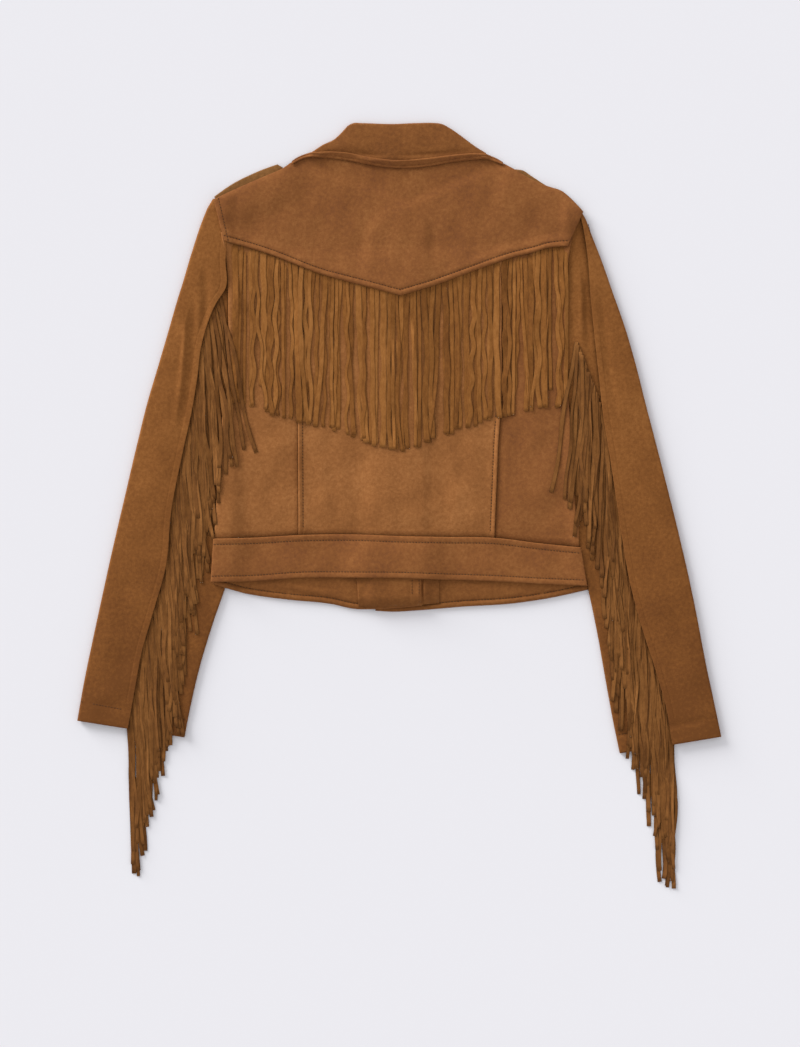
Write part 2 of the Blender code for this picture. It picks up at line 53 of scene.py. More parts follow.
# How an edge is made. Columns: distance from the edge in mm, height above lying flat in mm
edgeForms = {
    "rolled": [
        (0, 0), (0.5, 0.7), (1.2, 1.25), (2.5, 1.6), (4.0, 1.5), (5.3, 0.95), (6.3, 0.1), (7.2, 0.6),
        (9.4, 1.15), (14, 1.35), (26, 1.5),
    ],
    "cuff": [
        (0, 0), (0.5, 0.5), (1.2, 0.9), (4, 1.1), (16, 1.2), (19.3, 1.0), (20.8, -0.5), (22.2, 0.6),
        (25, 1.2), (32, 1.5),
    ],
    "stitched": [
        (0, 0), (0.5, 0.6), (1.2, 0.9), (2.8, 1.0), (4.2, 0.7), (5.0, 0.1), (5.9, 0.6), (8, 1.05),
        (14, 1.3), (26, 1.5),
    ],
    "soft": [
        (0, 0), (1.5, 0.15), (3, 0.45), (4.2, 0.4), (5.0, 0.1), (5.9, 0.4), (9, 0.8), (16, 1.2), (26, 1.5)
    ],
    "seam": [(0, 0), (0.8, 0.1), (2, 0.45), (4, 0.85), (8, 1.15), (14, 1.3), (26, 1.5)],
    "turned": [(0, 0), (0.35, 0.45), (0.8, 0.75), (1.5, 1.0), (3.7, 1.2), (9, 1.35), (26, 1.5)],
    "cut": [(0, 0), (1.5, 0.05), (5, 0.35), (12, 0.8), (26, 1.5)],
    "fold": [(0, 0.4), (8, 1.0), (26, 1.5)],
    "piped": [(0, 0), (0.5, 0.9), (1.2, 1.5), (2.1, 1.3), (3.0, 0.0), (4.0, 1.3), (5, 1.5), (26, 1.5)],
    "pocket": [
        (0, 1.4), (0.6, 1.9), (1.5, 2.3), (3, 2.3), (5, 2.1), (6, 1.7), (6.6, 1.1), (7.4, 1.6), (9.4, 2.0),
        (16, 2.0), (30, 1.5),
    ],
}

# Where each of them is sewn, from the edge
sewnAt = {
    "rolled": 6.5 * mm, "cuff": 20.8 * mm, "stitched": 5.2 * mm, "soft": 5.0 * mm, "pocket": 6.6 * mm,
}


# Rows of a table made close and smooth.
# Cubic through the rows: p = h00·a + h10·step·m0 + h01·b + h11·step·m1, with slopes m taken from the
# neighbours, or from the chord beside a sharp row.
def smoothRows(table, spacing, sharp=(), near=(True, True)):
    table = np.asarray(table, float)
    middle = table.reshape(len(table), -1, 2).mean(axis=1)
    knots = np.concatenate([[0], np.cumsum(np.linalg.norm(np.diff(middle, axis=0), axis=1))])
    step = np.diff(knots)
    slopes = np.gradient(table, knots, axis=0)
    chords = np.diff(table, axis=0) / step[:, None]
    first, last = slopes[:-1].copy(), slopes[1:].copy()
    for row in sharp:
        first[row] = chords[row]
        last[row - 1] = chords[row - 1]
    length = knots[-1]
    ends = min(nearEdge[-1], 0.45 * length)
    scale = ends / nearEdge[-1]
    start = nearEdge * scale if near[0] else np.array([0, ends])
    finish = length - (nearEdge * scale if near[1] else np.array([0, ends]))
    middle = np.linspace(ends, length - ends, max(2, int((length - 2 * ends) / spacing) + 1))
    places = np.unique(np.round(np.concatenate([start, middle, finish]), 7))
    for row in sharp:
        places = places[np.abs(places - knots[row]) > 0.4 * mm]
    places = np.sort(np.concatenate([places, knots[list(sharp)]]))
    index = np.clip(np.searchsorted(knots, places, side="right") - 1, 0, len(step) - 1)
    h = step[index][:, None]
    t = (places - knots[index])[:, None] / h
    rows = (
        (2 * t**3 - 3 * t**2 + 1) * table[index]
        + (t**3 - 2 * t**2 + t) * h * first[index]
        + (3 * t**2 - 2 * t**3) * table[index + 1]
        + (t**3 - t**2) * h * last[index]
    )
    return rows, places, length


# Distances across each row: fixed near both edges, even between them. Shape (rows, columns).
def acrossPlaces(width, spacing, near=(True, True)):
    ends = np.minimum(nearEdge[-1], 0.48 * width)[:, None]
    shares = nearEdge[None, :] / nearEdge[-1]
    count = max(1, int((np.median(width) - 2 * nearEdge[-1]) / spacing))
    middle = np.linspace(0, 1, count + 2)[None, 1:-1]
    bare = np.array([[0.0, 1.0]])
    start = ends * (shares if near[0] else bare)
    finish = width[:, None] - ends * (shares if near[1] else bare)[:, ::-1]
    return np.concatenate([start, ends + (width[:, None] - 2 * ends) * middle, finish], axis=1)


# Each cell takes combine() of the cells within this many of it, along both axes.
def spreadCells(field, cells, combine):
    for axis in (0, 1):
        pads = [(0, 0), (0, 0)]
        pads[axis] = (cells, cells)
        padded = np.pad(field, pads, mode="edge")
        size = field.shape[axis]
        field = combine([np.take(padded, np.arange(k, k + size), axis=axis) for k in range(2 * cells + 1)])
    return field


# The pile as a soft cloth sees it: never lower than the pile, with steps rounded over.
def softSupport(cells=4):
    return spreadCells(spreadCells(pile, cells, np.maximum.reduce), cells, lambda s: sum(s) / len(s))


# Bilinear: the four cells round each point, weighted by how near it is to each.
def readField(field, x, y):
    column = np.clip((x + reach) / cell - 0.5, 0, pileCells - 2)
    row = np.clip((y + reach) / cell - 0.5, 0, pileCells - 2)
    i, j = row.astype(int), column.astype(int)
    v, u = row - i, column - j
    return (
        (1 - v) * ((1 - u) * field[i, j] + u * field[i, j + 1])
        + v * ((1 - u) * field[i + 1, j] + u * field[i + 1, j + 1])
    )


# Raises the pile to a grid of points, sampled inside each of its quads.
def recordTop(grid, samples=4):
    share = np.linspace(0, 1, samples)
    u, v = (a.reshape(-1, 1) for a in np.meshgrid(share, share))
    corners = (grid[:-1, :-1], grid[:-1, 1:], grid[1:, :-1], grid[1:, 1:])
    weights = ((1 - u) * (1 - v), u * (1 - v), (1 - u) * v, u * v)
    points = sum(corner[:, :, None, :] * weight for corner, weight in zip(corners, weights))
    points = points.reshape(-1, 3)
    index = np.clip(((points[:, :2] + reach) / cell).astype(int), 0, pileCells - 1)
    np.maximum.at(pile, (index[:, 1], index[:, 0]), points[:, 2])


# Soft folds: Σ depth · sin(π·t)^0.8 · exp(−(d/width)²), t along and d off a bowed line. In mm.
def creaseField(x, y, creases):
    total = np.zeros_like(x)
    for x0, y0, x1, y1, bow, width, depth in np.asarray(creases) / mm:
        along = np.array([x1 - x0, y1 - y0])
        length = np.linalg.norm(along)
        along = along / length
        px, py = x / mm - x0, y / mm - y0
        t = np.clip((px * along[0] + py * along[1]) / length, 0, 1)
        off = py * along[0] - px * along[1] - bow * 4 * t * (1 - t)
        total += depth * np.sin(np.pi * t) ** 0.8 * np.exp(-((off / width) ** 2))
    return total


# The slack of the cloth: height · Σ sin(2π(x·cos a + y·sin a)/λ + p) / √n, in mm.
def waves(x, y, seed, height):
    rng = np.random.default_rng(seed)
    total = np.zeros_like(x)
    for length in (24, 33, 45, 62, 85, 110):
        angle, phase = rng.uniform(0, 2 * np.pi, 2)
        total += np.sin(2 * np.pi * (x * np.cos(angle) + y * np.sin(angle)) / (length * mm) + phase)
    return height * total / np.sqrt(6)


# A closed piece from the grids of its two faces: both faces, and a strip all round the rim.
def closedMesh(piece, outer, inner):
    rows, columns = outer.shape[:2]
    index = np.arange(rows * columns).reshape(rows, columns)
    top = np.stack([index[:-1, :-1], index[:-1, 1:], index[1:, 1:], index[1:, :-1]], axis=-1).reshape(-1, 4)
    loop = np.concatenate([index[0, :-1], index[:-1, -1], index[-1, :0:-1], index[:0:-1, 0]])
    after = np.roll(loop, -1)
    lower = rows * columns
    rim = np.stack([after, loop, loop + lower, after + lower], axis=-1)
    faces = np.concatenate([top, top[:, ::-1] + lower, rim])
    points = np.concatenate([outer.reshape(-1, 3), inner.reshape(-1, 3)])
    a, b, c, d = (points[faces[:, k]] for k in range(4))
    volume = (np.cross(a, b) * c).sum() + (np.cross(a, c) * d).sum()
    if volume < 0:  # inside out
        faces = faces[:, ::-1]
    made = addMesh(piece["name"], points, faces.tolist(), piece["material"])
    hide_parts(piece["cadNode"])
    return made


def addMesh(name, points, faces, material):
    mesh = bpy.data.meshes.new(name)
    mesh.from_pydata(points.tolist(), [], faces)
    mesh.polygons.foreach_set("use_smooth", np.ones(len(mesh.polygons), bool))
    mesh.materials.append(material)
    piece = bpy.data.objects.new(name, mesh)
    bpy.context.collection.objects.link(piece)
    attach(piece, "root")
    return piece


# Height in mm at each distance from an edge made in this way.
def edgeHeight(form, distance):
    at, height = np.array(edgeForms[form]).T
    return np.interp(distance / mm, at, height)


# Whether each edge of a sheet, left, right, start and end, needs close rows of points.
def closeRowsOf(piece):
    return [form != "cut" for form in piece["edges"]]


# Plan points of a sheet, (rows, columns, 2), and the distance of each from its four edges.
def planOf(piece):
    near = closeRowsOf(piece)
    rows, places, length = smoothRows(piece["rows"], piece["spacing"], piece.get("sharp", ()), near[2:])
    left, right = rows[:, :2], rows[:, 2:4]
    width = np.linalg.norm(right - left, axis=1)
    across = acrossPlaces(width, piece["spacing"], near[:2])
    plan = left[:, None] + (right - left)[:, None] * (across / width[:, None])[..., None]
    along = np.broadcast_to(places[:, None], across.shape)
    return plan, (across, width[:, None] - across, along, length - along)


# Height of a sheet above lying flat, in mm: its edges, its creases and its slack.
def reliefOf(piece, plan, distances):
    x, y = plan[..., 0], plan[..., 1]
    height = np.minimum.reduce([edgeHeight(form, d) for form, d in zip(piece["edges"], distances)])
    height = height * piece["puff"]
    stiffRim = 9 * mm  # a sewn or turned edge holds creases and slack off this far
    fade = np.clip(np.minimum.reduce(distances) / stiffRim, 0.12, 1)
    soft = creaseField(x, y, piece["creases"]) * np.clip(fade + 0.3, 0, 1)
    return height + soft + waves(x, y, piece["seed"], piece["slack"]) * fade


# Thickness at the rim, so that the edge is rounded: t·(0.4 + 0.6·√(1 − (1 − d/r)²)).
def roundRim(distances, thickness):
    radius = 0.8 * mm
    share = np.clip(np.minimum.reduce(distances) / radius, 0, 1)
    return thickness * (0.4 + 0.6 * np.sqrt(1 - (1 - share) ** 2))


# Lays a flat sheet on the pile: lower face = max(support + gap, upper face − thickness).
def laySheet(piece):
    plan, distances = planOf(piece)
    x, y = plan[..., 0], plan[..., 1]
    support = np.maximum(readField(softSupport(piece.get("drape", 4)), x, y), 0) + gap
    relief = np.maximum(reliefOf(piece, plan, distances) * mm, piece.get("lowest", 0.0))
    thickness = piece["thickness"]
    upper = support + roundRim(distances, thickness) + relief
    lower = np.maximum(support, upper - thickness)
    outer = np.concatenate([plan, upper[..., None]], axis=-1)
    inner = np.concatenate([plan, lower[..., None]], axis=-1)
    recordTop(outer)
    return closedMesh(piece, outer, inner)


# Lays a sheet folded over along its first edge: a flat lower layer, a round fold, an upper layer.
# Fold: d = r − r·cos a, z = middle + r·sin a, for a from −90° to 90°. between() is called when the
# lower layer lies there and the upper one doesn't yet.
def foldSheet(piece, between=None):
    near = closeRowsOf(piece)
    rows, places, length = smoothRows(piece["rows"], piece["spacing"], piece.get("sharp", ()), near[2:])
    edge, seam, far = rows[:, :2], rows[:, 2:4], rows[:, 4:6]
    thickness, radius = piece["thickness"], piece["foldHeight"] / 2
    farWidth, width = (np.linalg.norm(toward - edge, axis=1) for toward in (far, seam))
    farWay, way = (far - edge) / farWidth[:, None], (seam - edge) / width[:, None]
    flatPoints, roundPoints = 14, 15  # across the lower layer and round the fold
    low = np.linspace(farWidth, np.full_like(farWidth, radius), flatPoints).T
    high = radius + acrossPlaces(width - radius, piece["spacing"], (False, near[1]))
    angle = np.radians(np.linspace(-90, 90, roundPoints))[None, 1:-1].repeat(len(rows), axis=0)

    def planAt(distance, direction):
        return edge[:, None] + direction[:, None] * distance[..., None]

    def rising(r):
        return radius - r * np.cos(angle), gap + radius + r * np.sin(angle)

    lowPlan = planAt(low, farWay)
    lowest = np.concatenate([lowPlan, np.full_like(low, gap + thickness)[..., None]], axis=-1)
    recordTop(lowest)
    if between:
        between()
    highPlan = planAt(high, way)
    x, y = highPlan[..., 0], highPlan[..., 1]
    along = np.broadcast_to(places[:, None], high.shape)
    distances = (high - radius, width[:, None] - high, along, length - along)
    support = readField(softSupport(), x, y) + gap + roundRim(distances[1:], thickness)
    flat = gap + 2 * radius
    knit = 1.5 * mm  # rounds the step where the fold meets the cloth under it
    support = (support + flat + np.sqrt((support - flat) ** 2 + knit**2) - knit) / 2
    leaving = 6 * mm  # the upper layer comes off the round of the fold over this width
    blend = np.clip((high - radius) / leaving, 0, 1)
    blend = blend * blend * (3 - 2 * blend)
    relief = reliefOf(piece, highPlan, distances) * mm
    upper = flat + (np.maximum(support, flat) - flat + relief) * blend
    upper = np.maximum(upper, readField(pile, x, y) * blend + thickness + gap)
    outerFold, innerFold = rising(radius), rising(radius - thickness)
    outerPlan = [lowPlan, planAt(outerFold[0], way), highPlan]
    outerZ = [np.full_like(low, gap), outerFold[1], upper]
    innerPlan = [lowPlan, planAt(innerFold[0], way), highPlan]
    innerZ = [np.full_like(low, gap + thickness), innerFold[1], upper - thickness]
    outer, inner = (
        np.concatenate([np.concatenate(a, axis=1), np.concatenate(z, axis=1)[..., None]], axis=-1)
        for a, z in ((outerPlan, outerZ), (innerPlan, innerZ))
    )
    inset = distances[1].min(axis=0) >= piece.get("recordInset", 0)
    keep = np.concatenate([[False] * low.shape[1], [True] * angle.shape[1], inset])
    recordTop(outer[:, keep])
    return closedMesh(piece, outer, inner)


# Topstitching: 8 stitches to the inch, in thread drawn twice as thick as it is so that it shows
stitch = {
    "pitch": 3.3 * mm, "halfLength": 1.1 * mm, "radius": 0.36 * mm,
    "proud": 0.04 * mm, "slopeOver": 1.2 * mm, "lowest": 0.5 * mm,
}


# Thread showing along each line: capsules, radius r·(0.35, 0.85, 1, 0.85, 0.35) along their length.
def stitches(name, lines):
    pitch, reachOut = stitch["pitch"], stitch["slopeOver"]
    centres, ways = [], []
    for line in lines:
        at = np.concatenate([[0], np.cumsum(np.linalg.norm(np.diff(line, axis=0), axis=1))])
        middle = np.arange(0.6 * pitch, at[-1] - 0.4 * pitch, pitch)
        places = (middle - reachOut, middle, middle + reachOut)
        ends = [[np.interp(place, at, axis) for axis in line.T] for place in places]
        ends = [np.stack([x, y, readField(pile, x, y)], axis=1) for x, y in ends]
        keep = ends[1][:, 2] > stitch["lowest"]
        centres.append(ends[1][keep])
        ways.append((ends[2] - ends[0])[keep])
    centre, way = np.concatenate(centres), np.concatenate(ways)
    centre[:, 2] += stitch["proud"]
    way[:, 2] = np.clip(0.6 * way[:, 2], -0.6 * mm, 0.6 * mm)  # thread bridges a steep step
    way /= np.linalg.norm(way, axis=1)[:, None]
    side = np.cross(way, [0, 0, 1.0])
    side /= np.linalg.norm(side, axis=1)[:, None]
    up = np.cross(side, way)
    turn = np.radians(np.arange(0, 360, 60))
    along = np.array([-1, -0.8, 0, 0.8, 1]) * stitch["halfLength"]
    radius = np.array([0.35, 0.85, 1, 0.85, 0.35]) * stitch["radius"]
    ring = side[:, None] * np.cos(turn)[None, :, None] + up[:, None] * np.sin(turn)[None, :, None]
    points = centre[:, None, None] + way[:, None, None] * along[None, :, None, None]
    points = points + ring[:, None] * radius[None, :, None, None]
    around, rings = len(turn), len(along)
    k = np.arange(around)
    quads = np.stack([k, k + around, (k + 1) % around + around, (k + 1) % around], axis=1)
    quads = np.concatenate([quads + around * row for row in range(rings - 1)])
    base = (np.arange(len(centre)) * around * rings)[:, None, None]
    quads = (quads[None] + base).reshape(-1, 4)
    caps = (np.stack([k, k[::-1] + around * (rings - 1)])[None] + base).reshape(-1, around)
    return addMesh(name, points.reshape(-1, 3), quads.tolist() + caps.tolist(), thread)


# A line in plan along one edge of a sheet, 0 left, 1 right, 2 start, 3 end, where that edge is sewn
# or at a distance inside it.
def edgeLine(piece, side, inset=None):
    inset = sewnAt[piece["edges"][side]] if inset is None else inset
    rows, places, length = smoothRows(np.array(piece["rows"])[:, :4], 2 * mm, piece.get("sharp", ()))
    left, right = rows[:, :2], rows[:, 2:4]
    if side < 2:
        way = (right - left) / np.linalg.norm(right - left, axis=1)[:, None]
        return left + way * inset if side == 0 else right - way * inset
    at = inset if side == 2 else length - inset
    ends = np.array([np.interp(at, places, rows[:, k]) for k in range(4)])
    share = np.linspace(0, 1, 60)[:, None]  # points along the line
    return ends[:2] + (ends[2:] - ends[:2]) * share


# Section of a strand. Columns: share of its width, share of its thickness, dark where it was cut, a
# darkening that also paints the shade of the cracks between strands
strandSection = np.array([
    (-0.50, 0.10, 1), (-0.49, 0.85, 1), (-0.45, 1.00, 1), (-0.34, 1.03, 0), (0.34, 1.03, 0),
    (0.45, 1.00, 1), (0.49, 0.85, 1), (0.50, 0.10, 1), (0.30, 0.00, 1), (-0.30, 0.00, 1),
])


# Each row takes combine() of the rows within this many places of it.
def smoothPlaces(values, places, combine):
    padded = np.pad(values, ((places, places), (0, 0)), mode="edge")
    return combine([padded[k : k + len(values)] for k in range(2 * places + 1)])


# Strands laid one after another on the pile, each a closed ribbon of ten points round.
# Middle line: root + (tip − root)·s, pushed sideways by a·sin(2π(c·s + p))·s and by bow·4s(1 − s).
# Height: the cloth under it, plus what the strands laid before it add, levelling off at "most".
def fringe(piece, strands):
    thickness, width, most, segments = (piece[key] for key in ("thickness", "width", "most", "segments"))
    section, depth, cut = strandSection.T
    s = np.linspace(0, 1, segments + 1)
    allPoints, cutSideAndCrackShade = [], []
    bare = pile.copy()
    around = len(strandSection)
    ring = np.arange(around)
    walls = np.stack([ring, ring + around, (ring + 1) % around + around, (ring + 1) % around], axis=1)
    walls = np.concatenate([walls + around * k for k in range(segments)])
    caps = np.stack([ring, ring[::-1] + around * segments])
    # A strand: root, tip, early lean, bow and sway in mm, cycles, phase, share of the width, twist, dark
    # (how dark its cut sides are, with painted shade of the cracks between strands)
    for x0, y0, x1, y1, start, bow, sway, cycles, phase, scale, twist, dark in strands:
        length = np.hypot(x1 - x0, y1 - y0)
        way = np.array([x1 - x0, y1 - y0]) / length
        off = np.array([-way[1], way[0]])
        ease = s + (start * (1 - s) ** 2) * s
        line = np.array([x0, y0]) + np.stack([(x1 - x0) * ease, (y1 - y0) * s], axis=1)
        wave = np.sin(2 * np.pi * (cycles * s + phase)) - np.sin(2 * np.pi * phase)
        line = line + off * ((sway * wave * np.minimum(1, 3 * s) + bow * 4 * s * (1 - s)) * mm)[:, None]
        heading = np.gradient(line, axis=0)
        heading /= np.linalg.norm(heading, axis=1)[:, None]
        side = np.stack([-heading[:, 1], heading[:, 0]], axis=1)
        roll = twist * np.sin(2 * np.pi * (0.7 * cycles * s + 1.7 * phase)) * np.minimum(1, 4 * s)
        wide = width * scale * (1 - 0.35 * roll**2) * (1 + 0.06 * np.sin(2 * np.pi * (2.3 * s + phase)))
        across = np.linspace(-0.5, 0.5, 6)
        px = line[:, :1] + side[:, :1] * across * wide[:, None]
        py = line[:, 1:] + side[:, 1:] * across * wide[:, None]
        low = readField(bare, px, py)
        under = low + most * (1 - np.exp((low - readField(pile, px, py)) / most))
        sides = np.stack([under[:, :3].max(axis=1), under[:, 3:].max(axis=1)], axis=1)
        sides = smoothPlaces(sides, 1, np.maximum.reduce)
        sides = smoothPlaces(sides, 2, lambda rows: sum(rows) / len(rows))
        turned = roll * 0.3 * width  # a twisted strand stands up on one side
        z = sides.mean(axis=1) + 0.1 * mm + np.abs(turned)
        lift = (sides[:, 1] - sides[:, 0]) / 2 + turned
        place = section * wide[:, None]
        x = line[:, :1] + side[:, :1] * place
        y = line[:, 1:] + side[:, 1:] * place
        up = z[:, None] + depth * thickness + lift[:, None] * 2 * section
        points = np.stack([x, y, up], axis=-1)
        recordTop(points[:, [1, 3, 4, 6]] - [0, 0, 0.1 * mm], 6)  # its upper face
        allPoints.append(points.reshape(-1, 3))
        # The cut sides are darkened, partly the knit's own colour and partly painted shade of the cracks
        # between strands
        shade = dark * (0.75 + 0.25 * np.sin(2 * np.pi * (3.1 * s + phase)))
        cutSideAndCrackShade.append((shade[:, None] * cut).ravel())
    each = around * (segments + 1)  # points of one strand
    base = (np.arange(len(strands)) * each)[:, None, None]
    faces = (walls[None] + base).reshape(-1, 4).tolist() + (caps[None] + base).reshape(-1, around).tolist()
    made = addMesh(piece["name"], np.concatenate(allPoints), faces, piece["material"])
    tone = np.repeat(np.random.default_rng(5).uniform(0, 1, len(strands)), each)
    for key, values in (("tone", tone), ("rim", np.concatenate(cutSideAndCrackShade))):
        layer = made.data.attributes.new(key, "FLOAT", "POINT")
        layer.data.foreach_set("value", values.astype(np.float32))
    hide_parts(piece["cadNode"])
    return made


# sRGB hex to linear: ((c + 0.055) / 1.055)^2.4 above 0.04045, c / 12.92 below.
def linear(hexColour):
    c = np.array([int(hexColour[k : k + 2], 16) for k in (1, 3, 5)]) / 255
    return (*np.where(c > 0.04045, ((c + 0.055) / 1.055) ** 2.4, c / 12.92), 1.0)


def newMaterial(name):
    material = bpy.data.materials.new(name)
    material.use_nodes = True
    tree = material.node_tree
    tree.nodes.clear()
    return material, tree


# Adds a node, sets its properties, and sets or links its inputs by name (spaces as _) or number (i0).
def node(tree, kind, settings=None, **links):
    made = tree.nodes.new(kind)
    for key, value in (settings or {}).items():
        setattr(made, key, value)
    for key, value in links.items():
        numbered = key[0] == "i" and key[1:].isdigit()
        socket = made.inputs[int(key[1:]) if numbered else key.replace("_", " ")]
        if isinstance(value, bpy.types.NodeSocket):
            tree.links.new(value, socket)
        else:
            socket.default_value = value
    return made


napSize = {
    "patch": 45.5 * mm,  # where the nap lies one way
    "mottle": 3.85 * mm,  # tufts rubbed together
    "tuft": 1.11 * mm,  # fibres are 0.1 mm, too fine to show, so they are drawn as tufts this coarse
}
# Dark of the cut sides of strands: the knit behind the nap, and painted shade of the cracks between strands
cutEdgeAndCrackShadeColour = "#3A2310"


# Faux suede: a knitted microfibre, sanded to a short nap. Seen as matt brown cloth whose nap is
# brushed lighter and darker in soft patches, with a fine mottle and no shine.
def suedeMaterial(name, deep, middle, pale, strand=False, fall=0.0):
    material, tree = newMaterial(name)
    place = node(tree, "ShaderNodeTexCoord").outputs["Object"]
    if strand:
        place = node(tree, "ShaderNodeMapping", {}, Vector=place, Scale=(1.0, 0.4, 1.0)).outputs["Vector"]
    patches = node(
        tree, "ShaderNodeTexNoise", {}, Vector=place, Scale=1 / napSize["patch"], Detail=2.0, Roughness=0.5
    )
    mottle = node(
        tree, "ShaderNodeTexNoise", {}, Vector=place, Scale=1 / napSize["mottle"], Detail=3.0, Roughness=0.6
    )
    nap = node(
        tree, "ShaderNodeTexNoise", {}, Vector=place, Scale=1 / napSize["tuft"], Detail=2.0, Roughness=0.6
    )
    shares = [(mottle, 0.5), (patches, 0.35), (nap, 0.25)]
    factor = 0.25
    if strand:  # each strand has its own tone
        shares.append((node(tree, "ShaderNodeAttribute", {"attribute_name": "tone"}), 0.22))
        factor -= 0.11
    for pattern, share in shares:
        factor = node(
            tree, "ShaderNodeMath", {"operation": "MULTIPLY_ADD"}, i0=pattern.outputs["Fac"], i1=share,
            i2=factor,
        ).outputs["Value"]
    if fall:  # darker towards the cuffs
        height = node(tree, "ShaderNodeSeparateXYZ", {}, Vector=place).outputs["Y"]
        lower = node(
            tree, "ShaderNodeMapRange", {}, Value=height, From_Min=-0.22, From_Max=0.08,
            To_Min=-fall, To_Max=0.3 * fall,
        ).outputs["Result"]
        factor = node(tree, "ShaderNodeMath", {"operation": "ADD"}, i0=factor, i1=lower).outputs["Value"]
    dye = node(tree, "ShaderNodeValToRGB", {}, Fac=factor)
    stops = dye.color_ramp.elements
    stops.new(1.0)
    for stop, at, hexColour in zip(stops, (0.6, 0.8, 1.0), (deep, middle, pale)):
        stop.position = at
        stop.color = linear(hexColour)
    colour = dye.outputs["Color"]
    if strand:  # the cut sides of a strand show the knit behind the nap, darkened further as painted shade of the cracks between strands
        rim = node(tree, "ShaderNodeAttribute", {"attribute_name": "rim"}).outputs["Fac"]
        colour = node(
            tree, "ShaderNodeMixRGB", {}, Fac=rim, Color1=colour, Color2=linear(cutEdgeAndCrackShadeColour),
        ).outputs["Color"]
    coarse = node(tree, "ShaderNodeBump", {}, Strength=0.5, Distance=0.6 * mm, Height=mottle.outputs["Fac"])
    fine = node(
        tree, "ShaderNodeBump", {}, Strength=0.6, Distance=0.25 * mm, Height=nap.outputs["Fac"],
        Normal=coarse.outputs["Normal"],
    )
    shader = node(
        tree, "ShaderNodeBsdfPrincipled", {}, Base_Color=colour, Roughness=0.93, Specular_IOR_Level=0.15,
        Sheen_Weight=0.25, Sheen_Roughness=0.6, Sheen_Tint=linear(pale), Normal=fine.outputs["Normal"],
    )
    node(tree, "ShaderNodeOutputMaterial", {}, Surface=shader.outputs["BSDF"])
    return material


# Polyester sewing thread: smooth fibres, seen as small dashes with a slight shine.
def threadMaterial(name, hexColour):
    material, tree = newMaterial(name)
    shader = node(
        tree, "ShaderNodeBsdfPrincipled", {}, Base_Color=linear(hexColour), Roughness=0.6,
        Specular_IOR_Level=0.3,
    )
    node(tree, "ShaderNodeOutputMaterial", {}, Surface=shader.outputs["BSDF"])
    return material


backSuede = suedeMaterial("fauxSuedeBack", "#7F4F28", "#935E32", "#A76F3F")
yokeSuede = suedeMaterial("fauxSuedeYoke", "#744627", "#86532B", "#986336")
sleeveSuede = suedeMaterial("fauxSuedeSleeve", "#6E421E", "#815025", "#956030", fall=0.16)
strapSuede = suedeMaterial("fauxSuedeStrap", "#6E4B26", "#835930", "#96693B")
hemSuede = suedeMaterial("fauxSuedeHem", "#6D4221", "#804F27", "#925F31")
sleeveFringeSuede = suedeMaterial("fauxSuedeSleeveStrands", "#623C1B", "#794D24", "#8D5D2F", strand=True)
fringeSuede = suedeMaterial("fauxSuedeStrands", "#70441D", "#895727", "#9F6935", strand=True)
# Thread a little darker than the cloth, drawn darker still as painted shade of the stitch holes and the
# groove it lies in
thread = threadMaterial("polyesterThread", "#46290F")
print("materials made")

# Shoulder straps: doubled cloth under the shoulder edge of the yoke
# Columns: outer x, outer y, inner x, inner y
strapLeft = {
    "name": "epauletteLeft", "cadNode": "epaulette_left", "flat": (0.037, 0.088), "material": strapSuede,
    "thickness": band,
    "spacing": 3 * mm,
    "rows": [
        (-0.2035, 0.3380, -0.1925, 0.3100),
        (-0.1980, 0.3421, -0.1860, 0.3130),
        (-0.1805, 0.3537, -0.1660, 0.3210),
        (-0.1657, 0.3611, -0.1510, 0.3290),
        (-0.1510, 0.3675, -0.1370, 0.3350),
        (-0.1341, 0.3735, -0.1220, 0.3430),
        (-0.1284, 0.3703, -0.1190, 0.3450),
    ],
    "sharp": (5,), "edges": ("turned", "cut", "turned", "turned"), "puff": 0.6, "slack": 0.1, "seed": 3,
    "creases": [],
}
strapRight = {
    "name": "epauletteRight", "cadNode": "epaulette_right", "flat": (0.035, 0.076), "material": strapSuede,
    "thickness": band,
    "spacing": 3 * mm,
    "rows": [
        (0.1275, 0.3680, 0.1180, 0.3400),
        (0.1345, 0.3672, 0.1210, 0.3370),
        (0.1445, 0.3612, 0.1310, 0.3310),
        (0.1580, 0.3524, 0.1440, 0.3220),
        (0.1740, 0.3425, 0.1600, 0.3130),
        (0.1885, 0.3290, 0.1760, 0.3030),
    ],
    "edges": ("turned", "cut", "turned", "turned"), "puff": 0.6, "slack": 0.1, "seed": 4, "creases": [],
}

# Sleeves: the outer fold, the back seam, and the inner edge of the lower layer
# Columns: outer x, outer y, inner x, inner y, share of the width before the seam
sleeveLeft = np.array([
    (-0.2050, 0.3350, -0.1880, 0.3360, 1.00),
    (-0.2082, 0.3300, -0.1880, 0.3290, 1.00),
    (-0.2150, 0.3150, -0.1880, 0.3080, 1.00),
    (-0.2285, 0.2750, -0.1905, 0.2680, 1.00),
    (-0.2380, 0.2430, -0.1884, 0.2355, 0.95),
    (-0.2430, 0.2270, -0.1880, 0.2200, 0.78),
    (-0.2540, 0.1890, -0.1875, 0.1700, 0.57),
    (-0.2660, 0.1480, -0.1890, 0.1250, 0.57),
    (-0.2760, 0.1145, -0.1945, 0.0980, 0.60),
    (-0.2874, 0.0688, -0.1870, 0.0480, 0.50),
    (-0.3030, 0.0023, -0.1840, -0.0200, 0.445),
    (-0.3170, -0.0580, -0.1890, -0.0820, 0.475),
    (-0.3275, -0.1060, -0.2049, -0.1308, 0.472),
    (-0.3370, -0.1500, -0.2188, -0.1767, 0.462),
    (-0.3468, -0.1977, -0.2295, -0.2220, 0.475),
    (-0.3539, -0.2381, -0.2363, -0.2567, 0.475),
])
